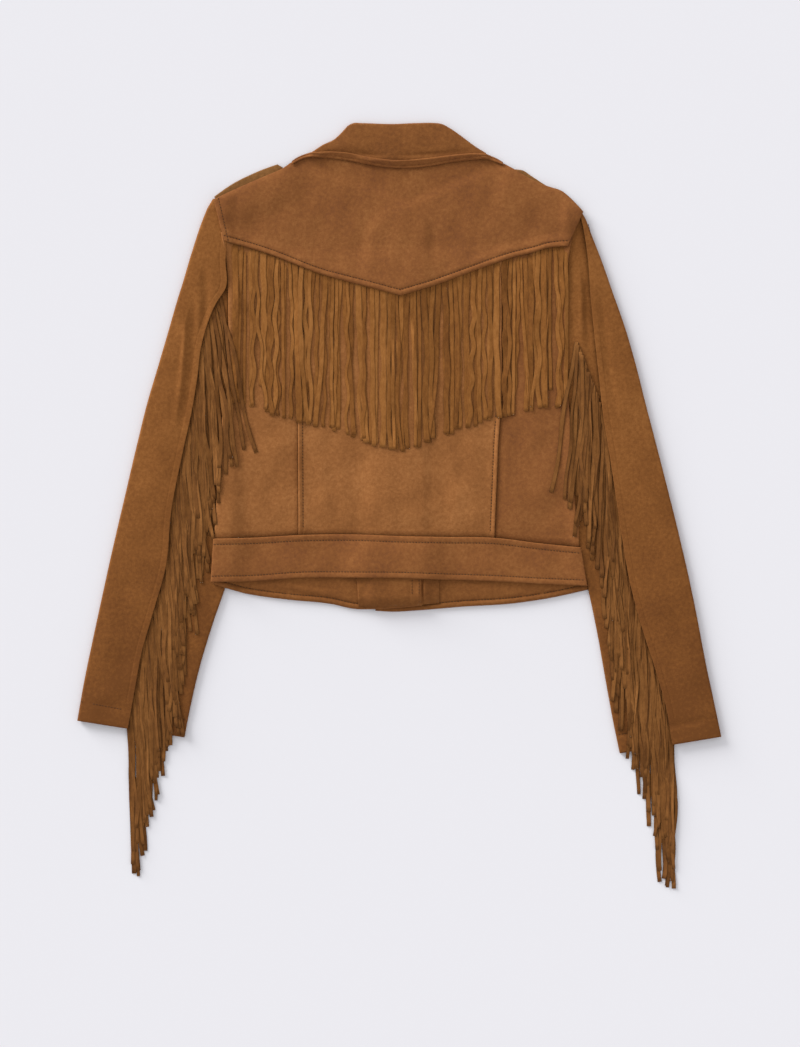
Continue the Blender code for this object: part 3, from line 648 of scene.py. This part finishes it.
sleeveRight = np.array([
    (0.1985, 0.3240, 0.1850, 0.3290, 0.30),
    (0.2038, 0.3150, 0.1850, 0.3140, 0.25),
    (0.2120, 0.2940, 0.1860, 0.2935, 0.32),
    (0.2219, 0.2685, 0.1852, 0.2640, 0.40),
    (0.2340, 0.2340, 0.1835, 0.2220, 0.475),
    (0.2490, 0.1910, 0.1830, 0.1720, 0.52),
    (0.2615, 0.1470, 0.1840, 0.1260, 0.54),
    (0.2705, 0.1110, 0.1885, 0.0930, 0.575),
    (0.2820, 0.0670, 0.1865, 0.0450, 0.538),
    (0.2910, 0.0320, 0.1895, 0.0080, 0.541),
    (0.3055, -0.0259, 0.1975, -0.0500, 0.561),
    (0.3170, -0.0750, 0.2076, -0.0930, 0.585),
    (0.3260, -0.1180, 0.2170, -0.1380, 0.565),
    (0.3372, -0.1767, 0.2275, -0.1970, 0.497),
    (0.3460, -0.2180, 0.2350, -0.2380, 0.470),
    (0.3539, -0.2556, 0.2425, -0.2742, 0.484),
])


def sleeveRows(table):
    outer, inner = table[:, :2], table[:, 2:4]
    return outer, outer + (inner - outer) * table[:, 4:], inner


# Creases. Columns: x0, y0, x1, y1, bow, width, depth
sleeveCreasesLeft = [
    (-0.235, 0.24, -0.247, 0.08, 0.004, 0.0026, 0.002),
    (-0.227, 0.24, -0.241, 0.08, 0.006, 0.004, -0.0016),
    (-0.216, 0.268, -0.221, 0.165, 0.006, 0.0045, -0.0022),
    (-0.262, 0.13, -0.285, 0.02, -0.003, 0.009, -0.0007),
    (-0.27, 0.06, -0.25, 0.03, 0, 0.007, 0.0008),
    (-0.288, -0.02, -0.262, -0.05, 0.002, 0.008, 0.0007),
    (-0.325, -0.165, -0.29, -0.19, 0.003, 0.008, -0.0012),
    (-0.33, -0.14, -0.3, -0.15, -0.002, 0.007, 0.0008),
    (-0.332, -0.205, -0.305, -0.212, 0, 0.006, 0.0006),
    (-0.3, -0.06, -0.31, -0.14, 0.004, 0.01, -0.0006),
    (-0.24, 0.205, -0.252, 0.15, 0.002, 0.006, 0.0006),
]
sleeveCreasesRight = [
    (0.222, 0.25, 0.24, 0.09, -0.004, 0.005, -0.0013),
    (0.232, 0.23, 0.252, 0.11, 0.004, 0.005, 0.0012),
    (0.245, 0.1, 0.27, 0.06, 0.002, 0.008, -0.0008),
    (0.262, 0.02, 0.29, -0.01, 0.002, 0.009, 0.0007),
    (0.268, -0.03, 0.3, -0.06, -0.003, 0.009, -0.0007),
    (0.282, -0.12, 0.315, -0.15, 0.003, 0.009, -0.0009),
    (0.3, -0.18, 0.332, -0.196, -0.002, 0.008, 0.0008),
    (0.275, -0.06, 0.3, -0.17, 0.004, 0.01, 0.0005),
]


def makeSleeve(side, table, creases, underStart, cuts, restsOn=()):
    outer, seam, inner = sleeveRows(table)
    way = (inner - outer) / np.linalg.norm(inner - outer, axis=1)[:, None]
    top = {
        "name": f"sleeve{side}Top", "cadNode": f"sleeve_{side.lower()}_top", "flat": cuts[0][:2],
        "area": cuts[0][2], "material": sleeveSuede,
        "thickness": suede, "spacing": 2.6 * mm,
        "rows": np.concatenate([outer, seam, inner], axis=1), "edges": ("fold", "pocket", "cut", "cuff"),
        "foldHeight": 6.0 * mm, "puff": 1.0, "slack": 0.28, "seed": 11 + underStart, "creases": creases,
        "recordInset": 5.0 * mm,
    }
    rows = slice(underStart, None)
    tuck = np.minimum(9 * mm, 0.5 * np.linalg.norm(seam - outer, axis=1))[:, None]
    under = {
        "name": f"sleeve{side}Under", "cadNode": f"sleeve_{side.lower()}_under", "flat": cuts[1][:2],
        "area": cuts[1][2], "material": sleeveSuede,
        "thickness": suede, "spacing": 3 * mm,
        "rows": np.concatenate([(seam - way * tuck)[rows], inner[rows]], axis=1),
        "edges": ("cut", "turned", "cut", "cuff"), "puff": 0.9, "slack": 0.3, "seed": 21 + underStart,
        "creases": [
            (0.196, 0.268, 0.2, 0.17, 0.002, 0.003, 0.001),
            (0.204, 0.255, 0.208, 0.16, 0.001, 0.0032, -0.0012),
            (0.19, 0.24, 0.195, 0.15, -0.002, 0.003, -0.0009),
        ],
    }
    made = {"cut": top, "restsOn": restsOn}
    made["top"] = foldSheet(top, lambda: made.update(under=laySheet(under)))
    lines = [edgeLine(top, 1), edgeLine(top, 3), edgeLine(under, 3)]
    made["stitches"] = stitches(f"sleeve{side}Stitches", lines)
    return made


pieces = {}
for strap in (strapLeft, strapRight):
    pieces[strap["name"]] = laySheet(strap)
pieces["sleeveLeft"] = makeSleeve(
    "Left", sleeveLeft, sleeveCreasesLeft, 4, ((0.196, 0.600, 0.084), (0.080, 0.502, 0.030)),
    [pieces["epauletteLeft"]]
)
print("left sleeve laid")

# Edges of the body from the yoke down the armhole and the side to the waist
# Columns: x, y
bodyLeft = np.array([
    (-0.2025, 0.3290), (-0.1974, 0.3080), (-0.1905, 0.2680), (-0.1884, 0.2355), (-0.1880, 0.2200),
    (-0.1875, 0.1700), (-0.1890, 0.1250), (-0.1945, 0.0980), (-0.1965, 0.0700), (-0.1985, 0.0400),
    (-0.2010, 0.0000), (-0.2037, -0.0384),
])
bodyRight = np.array([
    (0.1966, 0.3090), (0.1902, 0.2935), (0.1852, 0.2640), (0.1835, 0.2220), (0.1830, 0.1720),
    (0.1840, 0.1260), (0.1885, 0.0930), (0.1889, 0.0450), (0.1924, 0.0080), (0.1977, -0.0330),
])

frontEnd = -0.0380  # y of the seam between a front and its hem
hemStart = -0.0390
frontCreases = [
    (0.15, 0.25, 0.12, 0.14, 0.004, 0.01, 0.0005),
    (0.06, 0.13, 0.08, 0.02, -0.003, 0.012, -0.0005),
    (0.165, 0.09, 0.125, 0.03, 0.003, 0.009, 0.0005),
    (0.05, 0.25, 0.075, 0.17, 0.002, 0.008, -0.0004),
    (0.11, 0, 0.15, -0.03, 0.002, 0.009, -0.0005),
]


# A front, from its armhole and side edge across to the neckline and the front edge.
def makeFront(side, edge, tip, neckline, frontX, cut):
    way = 1 if side == "Right" else -1
    outline = np.concatenate([[tip], edge[1:]])
    share = np.interp(outline[:, 1], neckline[::-1, 1], np.arange(len(neckline))[::-1])
    x = np.interp(share, np.arange(len(neckline)), neckline[:, 0])
    y = np.interp(share, np.arange(len(neckline)), neckline[:, 1])
    below = outline[:, 1] < neckline[-1, 1]  # the neckline ends there, and the front edge begins
    x = np.where(below, frontX, x)
    y = np.where(below, outline[:, 1], y)
    x[0], y[0] = neckline[0]
    y[-1] = outline[-1, 1] = frontEnd
    piece = {
        "name": f"front{side}", "cadNode": f"front_{side.lower()}", "flat": cut[:2], "area": cut[2],
        "material": backSuede, "thickness": suede,
        "spacing": 6 * mm,
        "rows": np.concatenate([outline, np.stack([x, y], axis=1)], axis=1),
        "edges": ("cut", "turned", "cut", "cut"),
        "puff": 0.5, "slack": 0.15, "seed": 31,
        "creases": [(way * row[0], row[1], way * row[2], *row[3:]) for row in frontCreases],
    }
    made = laySheet(piece)
    return made


# The inside face of a front hem. Columns: top x, bottom x, bottom y.
def makeHem(side, table, creases, cut):
    table = np.array(table)
    rows = np.stack([table[:, 0], np.full(len(table), hemStart), table[:, 1], table[:, 2]], axis=1)
    piece = {
        "name": f"frontHem{side}", "cadNode": f"front_hem_band_{side.lower()}", "flat": cut[:2],
        "area": cut[2], "material": hemSuede,
        "thickness": suede, "spacing": 3 * mm,
        "rows": rows, "edges": ("cut", "rolled", "turned", "turned"), "puff": 1.4, "slack": 0.2, "seed": 33,
        "creases": creases,
    }
    made = laySheet(piece)
    sewn = stitches(f"frontHem{side}Stitches", [edgeLine(piece, 1)])
    return made


necklineLeft = np.array([(-0.1185, 0.3715), (-0.0800, 0.3450), (-0.0400, 0.3180)])
necklineRight = np.array([(0.1139, 0.3700), (0.0800, 0.3430), (0.0400, 0.3180)])
pieces["frontRight"] = makeFront(
    "Right", bodyRight, (0.2003, 0.3200), necklineRight, -0.0262, (0.225, 0.452, 0.080)
)
pieces["hemRight"] = makeHem(
    "Right",
    [
        (-0.0262, -0.0262, -0.1175), (-0.0080, -0.0080, -0.1185), (0.0206, 0.0206, -0.1170),
        (0.0668, 0.0668, -0.1132), (0.1295, 0.1295, -0.1089), (0.1650, 0.1690, -0.1028),
        (0.1998, 0.2085, -0.0941),
    ],
    [
        (0.06, -0.09, 0.13, -0.101, 0.002, 0.003, 0.0005),
        (0.11, -0.088, 0.19, -0.098, -0.002, 0.004, -0.0006),
    ],
    (0.233, 0.081, 0.0165),
)
pieces["frontLeft"] = makeFront(
    "Left", bodyLeft, (-0.2032, 0.3335), necklineLeft, 0.0254, (0.231, 0.463, 0.084),
)
pieces["hemLeft"] = makeHem(
    "Left",
    [
        (-0.2042, -0.2045, -0.0880), (-0.1900, -0.1910, -0.0923), (-0.1715, -0.1718, -0.0979),
        (-0.1466, -0.1466, -0.1023), (-0.1190, -0.1190, -0.1056), (-0.0750, -0.0750, -0.1100),
        (-0.0479, -0.0479, -0.1156), (-0.0282, -0.0282, -0.1157), (0.0000, 0.0000, -0.1142),
        (0.0254, 0.0254, -0.1118),
    ],
    [
        (-0.155, -0.087, -0.062, -0.103, 0.002, 0.0022, 0.0008),
        (-0.15, -0.093, -0.09, -0.101, 0.001, 0.002, -0.0008),
        (-0.12, -0.086, -0.06, -0.094, -0.001, 0.0025, -0.0007),
    ],
    (0.235, 0.078, 0.0160),
)
facing = {
    "name": "frontFacing", "cadNode": "front_facing_left", "flat": (0.094, 0.074), "material": hemSuede,
    "thickness": suede,
    "spacing": 0.65 * mm,
    "rows": [
        (-0.0500, -0.0393, -0.0445, -0.1130), (-0.0278, -0.0393, -0.0278, -0.1130),
        (0.0000, -0.0393, 0.0000, -0.1125), (0.0440, -0.0393, 0.0440, -0.1090),
    ],
    "edges": ("cut", "cut", "turned", "seam"), "puff": 0.8, "slack": 0.15, "seed": 35, "lowest": -1.0 * mm,
    "creases": [
        (0.0255, -0.08, 0.0253, -0.111, 0, 0.00085, -0.006),
        (0.022, -0.079, 0.0215, -0.118, 0, 0.0034, 0.0011),
        (0.0295, -0.079, 0.029, -0.118, 0, 0.0045, 0.0014),
        (0.012, -0.085, 0.012, -0.11, 0, 0.0016, -0.0005),
    ],
}
pieces["facing"] = laySheet(facing)
facingStitches = stitches(
    "frontFacingStitches",
    [edgeLine(facing, 3, 22.3 * mm), edgeLine(facing, 3, 30.0 * mm), edgeLine(facing, 1, 5.2 * mm)],
)
print("fronts and hems laid")

pieces["sleeveRight"] = makeSleeve(
    "Right", sleeveRight, sleeveCreasesRight, 0, ((0.180, 0.605, 0.080), (0.070, 0.600, 0.029)),
    [pieces["frontRight"]]
)
print("right sleeve laid")

# Back yoke, from left to right: its upper edge on the shoulders and the neck, its lower edge on the point
# Columns: top x, top y, lower x, lower y
yoke = {
    "name": "backYoke", "cadNode": "back_yoke", "flat": (0.404, 0.148), "area": 0.0435,
    "material": yokeSuede, "thickness": suede,
    "spacing": 2.6 * mm,
    "rows": [
        (-0.2038, 0.3340, -0.1919, 0.2885),
        (-0.1930, 0.3395, -0.1820, 0.2858),
        (-0.1740, 0.3486, -0.1640, 0.2808),
        (-0.1500, 0.3590, -0.1384, 0.2726),
        (-0.1290, 0.3682, -0.1170, 0.2641),
        (-0.1160, 0.3772, -0.0930, 0.2546),
        (-0.1026, 0.3822, -0.0800, 0.2504),
        (-0.0762, 0.3818, -0.0600, 0.2449),
        (-0.0412, 0.3762, -0.0350, 0.2382),
        (0.0000, 0.3712, 0.0012, 0.2284),
        (0.0324, 0.3733, 0.0367, 0.2392),
        (0.0577, 0.3776, 0.0600, 0.2475),
        (0.0954, 0.3806, 0.0829, 0.2561),
        (0.1139, 0.3748, 0.1060, 0.2645),
        (0.1450, 0.3568, 0.1292, 0.2718),
        (0.1625, 0.3494, 0.1460, 0.2758),
        (0.1799, 0.3433, 0.1614, 0.2806),
        (0.1885, 0.3360, 0.1713, 0.2821),
        (0.2021, 0.3208, 0.1850, 0.2828),
    ],
    "sharp": (9,), "edges": ("seam", "rolled", "soft", "seam"), "puff": 1.0, "slack": 0.3, "seed": 41,
    "creases": [
        (-0.17, 0.33, -0.15, 0.285, 0.003, 0.009, -0.0006),
        (-0.12, 0.35, -0.09, 0.3, -0.004, 0.011, 0.0005),
        (-0.06, 0.36, -0.04, 0.3, 0.003, 0.012, -0.0005),
        (0, 0.362, 0.002, 0.25, 0.002, 0.014, 0.0004),
        (0.06, 0.36, 0.07, 0.29, -0.003, 0.012, -0.0005),
        (0.12, 0.35, 0.11, 0.29, 0.003, 0.01, 0.0005),
        (0.16, 0.335, 0.15, 0.29, -0.003, 0.009, -0.0006),
        (0.185, 0.335, 0.178, 0.292, 0.001, 0.005, 0.0006),
    ],
}


def yokeEdge(x):
    rows = smoothRows(np.array(yoke["rows"]), 2 * mm, yoke["sharp"])[0]
    order = np.argsort(rows[:, 2])
    return np.interp(x, rows[order, 2], rows[order, 3])


# Seam of the waistband. Columns: x, y
waistSeam = np.array([
    (-0.2040, -0.0395), (-0.1644, -0.0371), (-0.1084, -0.0341), (-0.0500, -0.0334), (0.0058, -0.0339),
    (0.0500, -0.0354), (0.1030, -0.0375), (0.1548, -0.0432), (0.1994, -0.0478),
])


def waistLine(x):
    return np.interp(x, waistSeam[:, 0], waistSeam[:, 1])


# A panel of the back between two lines x(y), from under the yoke to under the waistband.
def backPanel(name, cadNode, leftX, rightX, edges, creases, seed, cut, material=backSuede):
    share = np.linspace(0, 1, 16)
    columns = []
    for line in (leftX, rightX):
        top = yokeEdge(line(0.27)) + 10 * mm  # hidden under the yoke
        low = waistLine(line(-0.036)) - 4 * mm  # hidden under the waistband
        y = top + (low - top) * share
        columns += [line(y), y]
    piece = {
        "name": name, "cadNode": cadNode, "flat": cut[:2], "area": cut[2], "material": material,
        "thickness": suede,
        "spacing": 3 * mm,
        "rows": np.stack(columns, axis=1), "edges": edges, "puff": 1.1, "slack": 0.35, "seed": seed,
        "creases": creases,
    }
    return laySheet(piece), piece


def lineOf(table):
    table = np.array(table)[::-1]
    return lambda y: np.interp(y, table[:, 1], table[:, 0])


princessLeft = lineOf([(-0.1084, 0.30), (-0.1115, 0.120), (-0.1111, 0.041), (-0.1106, -0.05)])
princessRight = lineOf([(0.1125, 0.30), (0.1129, 0.120), (0.1090, 0.068), (0.1042, -0.05)])
sideLeft, sideRight = lineOf(bodyLeft[1:]), lineOf(bodyRight)
pieces["backSideLeft"], sideLeftPiece = backPanel(
    "backSideLeft", "back_side_left", sideLeft, princessLeft, ("turned", "seam", "cut", "cut"),
    [
        (-0.178, 0.078, -0.15, 0.052, 0.003, 0.009, -0.0013),
        (-0.184, 0.06, -0.14, 0.02, 0.002, 0.01, 0.0009),
        (-0.15, 0.06, -0.13, -0.01, 0.003, 0.012, -0.0006),
        (-0.19, 0.02, -0.15, -0.02, 0, 0.01, -0.0007),
    ], 51, (0.095, 0.328, 0.0268),
)
pieces["backSideRight"], sideRightPiece = backPanel(
    "backSideRight", "back_side_right", princessRight, sideRight, ("seam", "turned", "cut", "cut"),
    [
        (0.175, 0.075, 0.14, 0.04, -0.003, 0.01, -0.001),
        (0.18, 0.045, 0.14, 0, 0.003, 0.011, 0.0008),
        (0.128, 0.08, 0.122, 0, 0.003, 0.009, -0.0006),
        (0.185, 0.01, 0.15, -0.028, 0, 0.009, -0.0007),
    ], 52, (0.095, 0.334, 0.0255), yokeSuede,
)
pieces["backCentre"], centrePiece = backPanel(
    "backCentre", "back_centre", princessLeft, princessRight, ("stitched", "stitched", "cut", "cut"),
    [
        (-0.06, 0.06, -0.048, -0.025, 0.004, 0.014, -0.0007),
        (-0.01, 0.055, -0.004, -0.02, -0.004, 0.016, 0.0007),
        (0.04, 0.06, 0.048, -0.025, 0.004, 0.014, -0.0008),
        (0.078, 0.05, 0.066, -0.02, -0.003, 0.012, 0.0006),
        (-0.088, 0.05, -0.082, -0.025, 0.002, 0.01, 0.0006),
    ], 53, (0.228, 0.316, 0.0690),
)
princessStitches = stitches("backPrincessStitches", [edgeLine(centrePiece, 0), edgeLine(centrePiece, 1)])
waistband = {
    "name": "backWaistband", "cadNode": "back_waistband", "flat": (0.416, 0.052), "material": yokeSuede,
    "thickness": band,
    "spacing": 2.8 * mm,
    "rows": [
        (-0.2040, -0.0380, -0.2070, -0.0857),
        (-0.1930, -0.0378, -0.1940, -0.0855),
        (-0.1644, -0.0371, -0.1650, -0.0850),
        (-0.1084, -0.0341, -0.1084, -0.0813),
        (-0.0500, -0.0334, -0.0500, -0.0811),
        (0.0008, -0.0352, 0.0010, -0.0814),
        (0.0500, -0.0362, 0.0500, -0.0832),
        (0.1030, -0.0371, 0.1050, -0.0850),
        (0.1548, -0.0432, 0.1570, -0.0880),
        (0.1994, -0.0478, 0.2066, -0.0900),
    ],
    "edges": ("rolled", "rolled", "seam", "seam"), "drape": 9, "puff": 0.48, "slack": 0.2, "seed": 61,
    "creases": [
        (-0.18, -0.055, -0.172, -0.075, 0, 0.007, -0.0003),
        (-0.128, -0.05, -0.118, -0.076, 0.001, 0.009, 0.00025),
        (-0.06, -0.056, -0.02, -0.062, 0.001, 0.004, -0.0003),
        (-0.048, -0.05, -0.036, -0.07, 0.001, 0.006, 0.00025),
        (0.038, -0.052, 0.03, -0.078, 0.001, 0.009, -0.00025),
        (0.092, -0.054, 0.098, -0.08, 0.001, 0.009, 0.00025),
        (0.15, -0.056, 0.142, -0.082, 0.001, 0.008, -0.0003),
        (0.184, -0.058, 0.19, -0.084, 0.001, 0.006, 0.0003),
    ],
}
pieces["waistband"] = laySheet(waistband)
waistbandStitches = stitches("backWaistbandStitches", [edgeLine(waistband, 0), edgeLine(waistband, 1)])
print("back and waistband laid")

# Fringe of the yoke: where the tips lie. Columns: x, y
yokeTips = np.array([
    (-0.1790, 0.1120), (-0.1609, 0.1085), (-0.1367, 0.0980), (-0.1053, 0.0903), (-0.0745, 0.0826),
    (-0.0590, 0.0782), (-0.0390, 0.0705), (-0.0256, 0.0640), (-0.0003, 0.0587), (0.0150, 0.0605),
    (0.0305, 0.0683), (0.0490, 0.0749), (0.0675, 0.0837), (0.0861, 0.0881), (0.1075, 0.0947),
    (0.1262, 0.0991), (0.1449, 0.1040), (0.1605, 0.1068), (0.1790, 0.1080),
])


yokeFringe = {
    "name": "backFringe", "cadNode": "back_fringe", "material": fringeSuede, "segments": 46,
    "thickness": 0.6 * mm, "width": 4.85 * mm, "most": 1.9 * mm,
    "from": -0.1875, "to": 0.1800, "pitches": [3.2, 3.8, 4.6, 5.2, 6.2], "under": 6 * mm,
    "crossed": 0.14, "short": 0.06, "twisted": 0.08,  # shares of the strands
    "seed": 7,
}


# Strands cut side by side along the edge of the yoke, in uneven widths, laid in a mixed order.
def yokeStrands(piece):
    rng = np.random.default_rng(piece["seed"])
    strands = []
    x = piece["from"]
    while x < piece["to"]:
        pitch = rng.choice(piece["pitches"]) * rng.uniform(0.92, 1.08) * mm
        x += pitch
        crossed = rng.uniform() < piece["crossed"]
        shift = rng.choice([-1, 1]) * rng.uniform(5, 11) if crossed else rng.normal(0, 1.6)
        tipX = x + shift * mm
        tipY = np.interp(tipX, yokeTips[:, 0], yokeTips[:, 1]) + rng.uniform(-2.5, 2.5) * mm
        if rng.uniform() < piece["short"]:
            tipY += rng.uniform(6, 30) * mm
        twist = rng.choice([-0.5, 0.5]) if rng.uniform() < piece["twisted"] else rng.normal(0, 0.07)
        strands.append((
            x, yokeEdge(x) + piece["under"], tipX, tipY, -0.8 if crossed else 0.0, rng.normal(0, 1.6),
            rng.choice([0.2, 0.5, 0.9, 1.6]), rng.uniform(1.2, 5.0), rng.uniform(0, 1), pitch / (4.5 * mm),
            twist, rng.choice([0.15, 0.3, 0.5, 0.9], p=[0.3, 0.3, 0.25, 0.15]),
        ))
    return [strands[k] for k in rng.permutation(len(strands))]


pieces["backFringe"] = fringe(yokeFringe, yokeStrands(yokeFringe))
pieces["yoke"] = laySheet(yoke)
yokeStitches = stitches("backYokeStitches", [edgeLine(yoke, 1), edgeLine(yoke, 2)])
print("yoke and its fringe laid")

# Collar: the fold along its top, and the crease where it meets the stand
# Columns: fold x, fold y, crease x, crease y
collarRows = np.array([
    (-0.1180, 0.3745, -0.1176, 0.3728),
    (-0.1127, 0.3797, -0.1120, 0.3765),
    (-0.1074, 0.3828, -0.1060, 0.3790),
    (-0.0971, 0.3861, -0.0960, 0.3835),
    (-0.0843, 0.3945, -0.0850, 0.3878),
    (-0.0707, 0.4013, -0.0700, 0.3885),
    (-0.0619, 0.4098, -0.0600, 0.3876),
    (-0.0558, 0.4162, -0.0530, 0.3871),
    (-0.0505, 0.4186, -0.0480, 0.3858),
    (-0.0420, 0.4186, -0.0405, 0.3822),
    (-0.0100, 0.4176, -0.0100, 0.3790),
    (0.0228, 0.4187, 0.0228, 0.3804),
    (0.0390, 0.4187, 0.0380, 0.3820),
    (0.0462, 0.4178, 0.0450, 0.3828),
    (0.0547, 0.4136, 0.0540, 0.3840),
    (0.0679, 0.4045, 0.0680, 0.3856),
    (0.0850, 0.3919, 0.0850, 0.3862),
    (0.0954, 0.3856, 0.0950, 0.3838),
])
leaf = {
    "name": "collarLeaf", "cadNode": "collar_leaf", "flat": (0.214, 0.088), "area": 0.0119,
    "material": hemSuede, "thickness": suede,
    "spacing": 2.4 * mm,
    "rows": np.concatenate([collarRows, collarRows[:, 2:]], axis=1)[3:] - [0, 0, 0, 0.003, 0, 0.003],
    "edges": ("fold", "seam", "turned", "turned"),
    "foldHeight": 5.2 * mm, "puff": 0.9, "slack": 0.25, "seed": 71,
    "creases": [
        (-0.056, 0.408, -0.016, 0.389, 0.002, 0.005, -0.0012),
        (-0.062, 0.396, -0.03, 0.387, 0.001, 0.004, 0.0007),
        (-0.03, 0.414, 0, 0.398, 0.001, 0.008, 0.0006),
        (-0.096, 0.388, -0.008, 0.383, -0.001, 0.003, -0.0016),
        (-0.008, 0.383, 0.092, 0.389, -0.002, 0.003, -0.0015),
        (0.022, 0.414, 0.044, 0.39, -0.002, 0.007, -0.0007),
        (0.044, 0.406, 0.066, 0.391, 0.001, 0.006, 0.0006),
        (0.072, 0.397, 0.088, 0.389, 0, 0.004, -0.0006),
    ],
}
pieces["leaf"] = foldSheet(leaf)
stand = {
    "name": "collarStand", "cadNode": "collar_stand", "flat": (0.241, 0.0105), "material": yokeSuede,
    "thickness": suede,
    "spacing": 2.4 * mm,
    "rows": [
        (-0.1180, 0.3768, -0.1180, 0.3726),
        (-0.1116, 0.3814, -0.1105, 0.3770),
        (-0.1020, 0.3852, -0.1020, 0.3802),
        (-0.0880, 0.3866, -0.0880, 0.3805),
        (-0.0707, 0.3868, -0.0707, 0.3793),
        (-0.0530, 0.3850, -0.0530, 0.3767),
        (-0.0412, 0.3824, -0.0412, 0.3742),
        (0.0000, 0.3774, 0.0000, 0.3689),
        (0.0324, 0.3800, 0.0324, 0.3710),
        (0.0577, 0.3832, 0.0577, 0.3754),
        (0.0850, 0.3850, 0.0850, 0.3784),
        (0.0954, 0.3843, 0.0954, 0.3788),
        (0.1060, 0.3805, 0.1050, 0.3757),
        (0.1139, 0.3758, 0.1139, 0.3724),
    ],
    "edges": ("turned", "piped", "turned", "turned"), "drape": 2, "puff": 0.9, "slack": 0.05, "seed": 72,
    "creases": [],
}
pieces["stand"] = laySheet(stand)
print("collar laid")


# Strands rooted along the back seam, which hang to the tips and fan out a little from the sleeve.
def sleeveStrands(piece, side, table):
    rng = np.random.default_rng(piece["seed"])
    seam = sleeveRows(table)[1]
    rows = smoothRows(np.concatenate([seam, seam], axis=1), 2 * mm)[0][:, :2]
    at = np.concatenate([[0], np.cumsum(np.linalg.norm(np.diff(rows, axis=0), axis=1))])
    start = np.interp(-piece["first"], -rows[:, 1], at)
    strands = []
    for place in np.arange(start, at[-1] - 2 * mm, piece["pitch"]):
        x, y = np.interp(place, at, rows[:, 0]), np.interp(place, at, rows[:, 1])
        share = (place - start) / (at[-1] - start)
        fan = rng.uniform(-1, 19 - 6 * share**3) if side > 0 else rng.uniform(-13, 10)
        if rng.uniform() < piece["stray"]:
            fan += 9
        fan += 19 * np.exp(-(place - start) / (45 * mm)) * rng.uniform(0.1, 1)  # the top ones swing out
        x -= piece["tucked"] * max(0, 1 - (place - start) / (78 * mm))
        length = rng.normal(piece["length"] / mm, 3)
        strands.append((
            x - side * 0.8 * mm, y, x + side * fan * mm, y - length * mm, rng.uniform(0, 0.8),
            rng.normal(0, 2.4), rng.uniform(0.5, 2.2), rng.uniform(0.9, 2.4), rng.uniform(0, 1),
            rng.uniform(0.85, 1.15), rng.normal(0, 0.3), rng.uniform(0.45, 1),
        ))
    order = np.argsort(-np.arange(len(strands)) + rng.normal(0, 1.5, len(strands)))
    return [strands[k] for k in order]


for side, name, table, first, tucked in (
    (1, "Left", sleeveLeft, 0.228, 0), (-1, "Right", sleeveRight, 0.178, 21 * mm),
):
    sleeveFringe = {
        "name": f"sleeve{name}Fringe", "cadNode": f"sleeve_{name.lower()}_fringe",
        "material": sleeveFringeSuede, "segments": 30,
        "thickness": 0.6 * mm, "width": 4.3 * mm, "most": 2.8 * mm,
        "first": first, "tucked": tucked, "pitch": 3.7 * mm, "length": 167 * mm, "stray": 0.07,
        "seed": 80 + side,
    }
    made = fringe(sleeveFringe, sleeveStrands(sleeveFringe, side, table))
print("sleeve fringes laid")

# Camera straight above, pale floor, a soft light from the upper left and an even surround
studio = {
    "cameraPlace": (0.0008, -0.0215, 2.720), "lens": 85, "sensor": 36,
    "floorColour": "#EEEDF1", "floorHalf": 6.0, "floorHeight": -0.3 * mm,
    "sunSlant": 75, "sunSpread": 30, "sunStrength": 3.7,
    "surroundColour": "#FDFDFF", "surroundStrength": 0.69,
}
camera = bpy.data.objects.new("camera", bpy.data.cameras.new("camera"))
bpy.context.collection.objects.link(camera)
camera.location = studio["cameraPlace"]
camera.data.lens = studio["lens"]
camera.data.sensor_width = studio["sensor"]
camera.data.clip_end = 20
camera.data.dof.use_dof = False
bpy.context.scene.camera = camera

# Painted board: a rolled matt emulsion, seen as an even pale field
floorMaterial, tree = newMaterial("paintedBoard")
shader = node(
    tree, "ShaderNodeBsdfPrincipled", {}, Base_Color=linear(studio["floorColour"]), Roughness=0.9,
    Specular_IOR_Level=0.1,
)
node(tree, "ShaderNodeOutputMaterial", {}, Surface=shader.outputs["BSDF"])
mesh = bpy.data.meshes.new("floor")
half, height = studio["floorHalf"], studio["floorHeight"]
corners = [(-half, -half, height), (half, -half, height), (half, half, height), (-half, half, height)]
mesh.from_pydata(corners, [], [(0, 1, 2, 3)])
mesh.materials.append(floorMaterial)
floor = bpy.data.objects.new("floor", mesh)
bpy.context.collection.objects.link(floor)

sun = bpy.data.objects.new("window", bpy.data.lights.new("window", "SUN"))
bpy.context.collection.objects.link(sun)
slant = np.radians(studio["sunSlant"])
travel = Vector((np.sin(slant) * 0.72, -np.sin(slant) * 0.69, -np.cos(slant)))  # to the right and down
sun.rotation_euler = travel.to_track_quat("-Z", "Y").to_euler()
sun.data.energy = studio["sunStrength"]
sun.data.angle = np.radians(studio["sunSpread"])
world = bpy.data.worlds.new("surround")
bpy.context.scene.world = world
world.use_nodes = True
background = world.node_tree.nodes["Background"]
background.inputs["Color"].default_value = linear(studio["surroundColour"])
background.inputs["Strength"].default_value = studio["surroundStrength"]
bpy.context.scene.view_settings.view_transform = "Standard"
print("camera and light set")
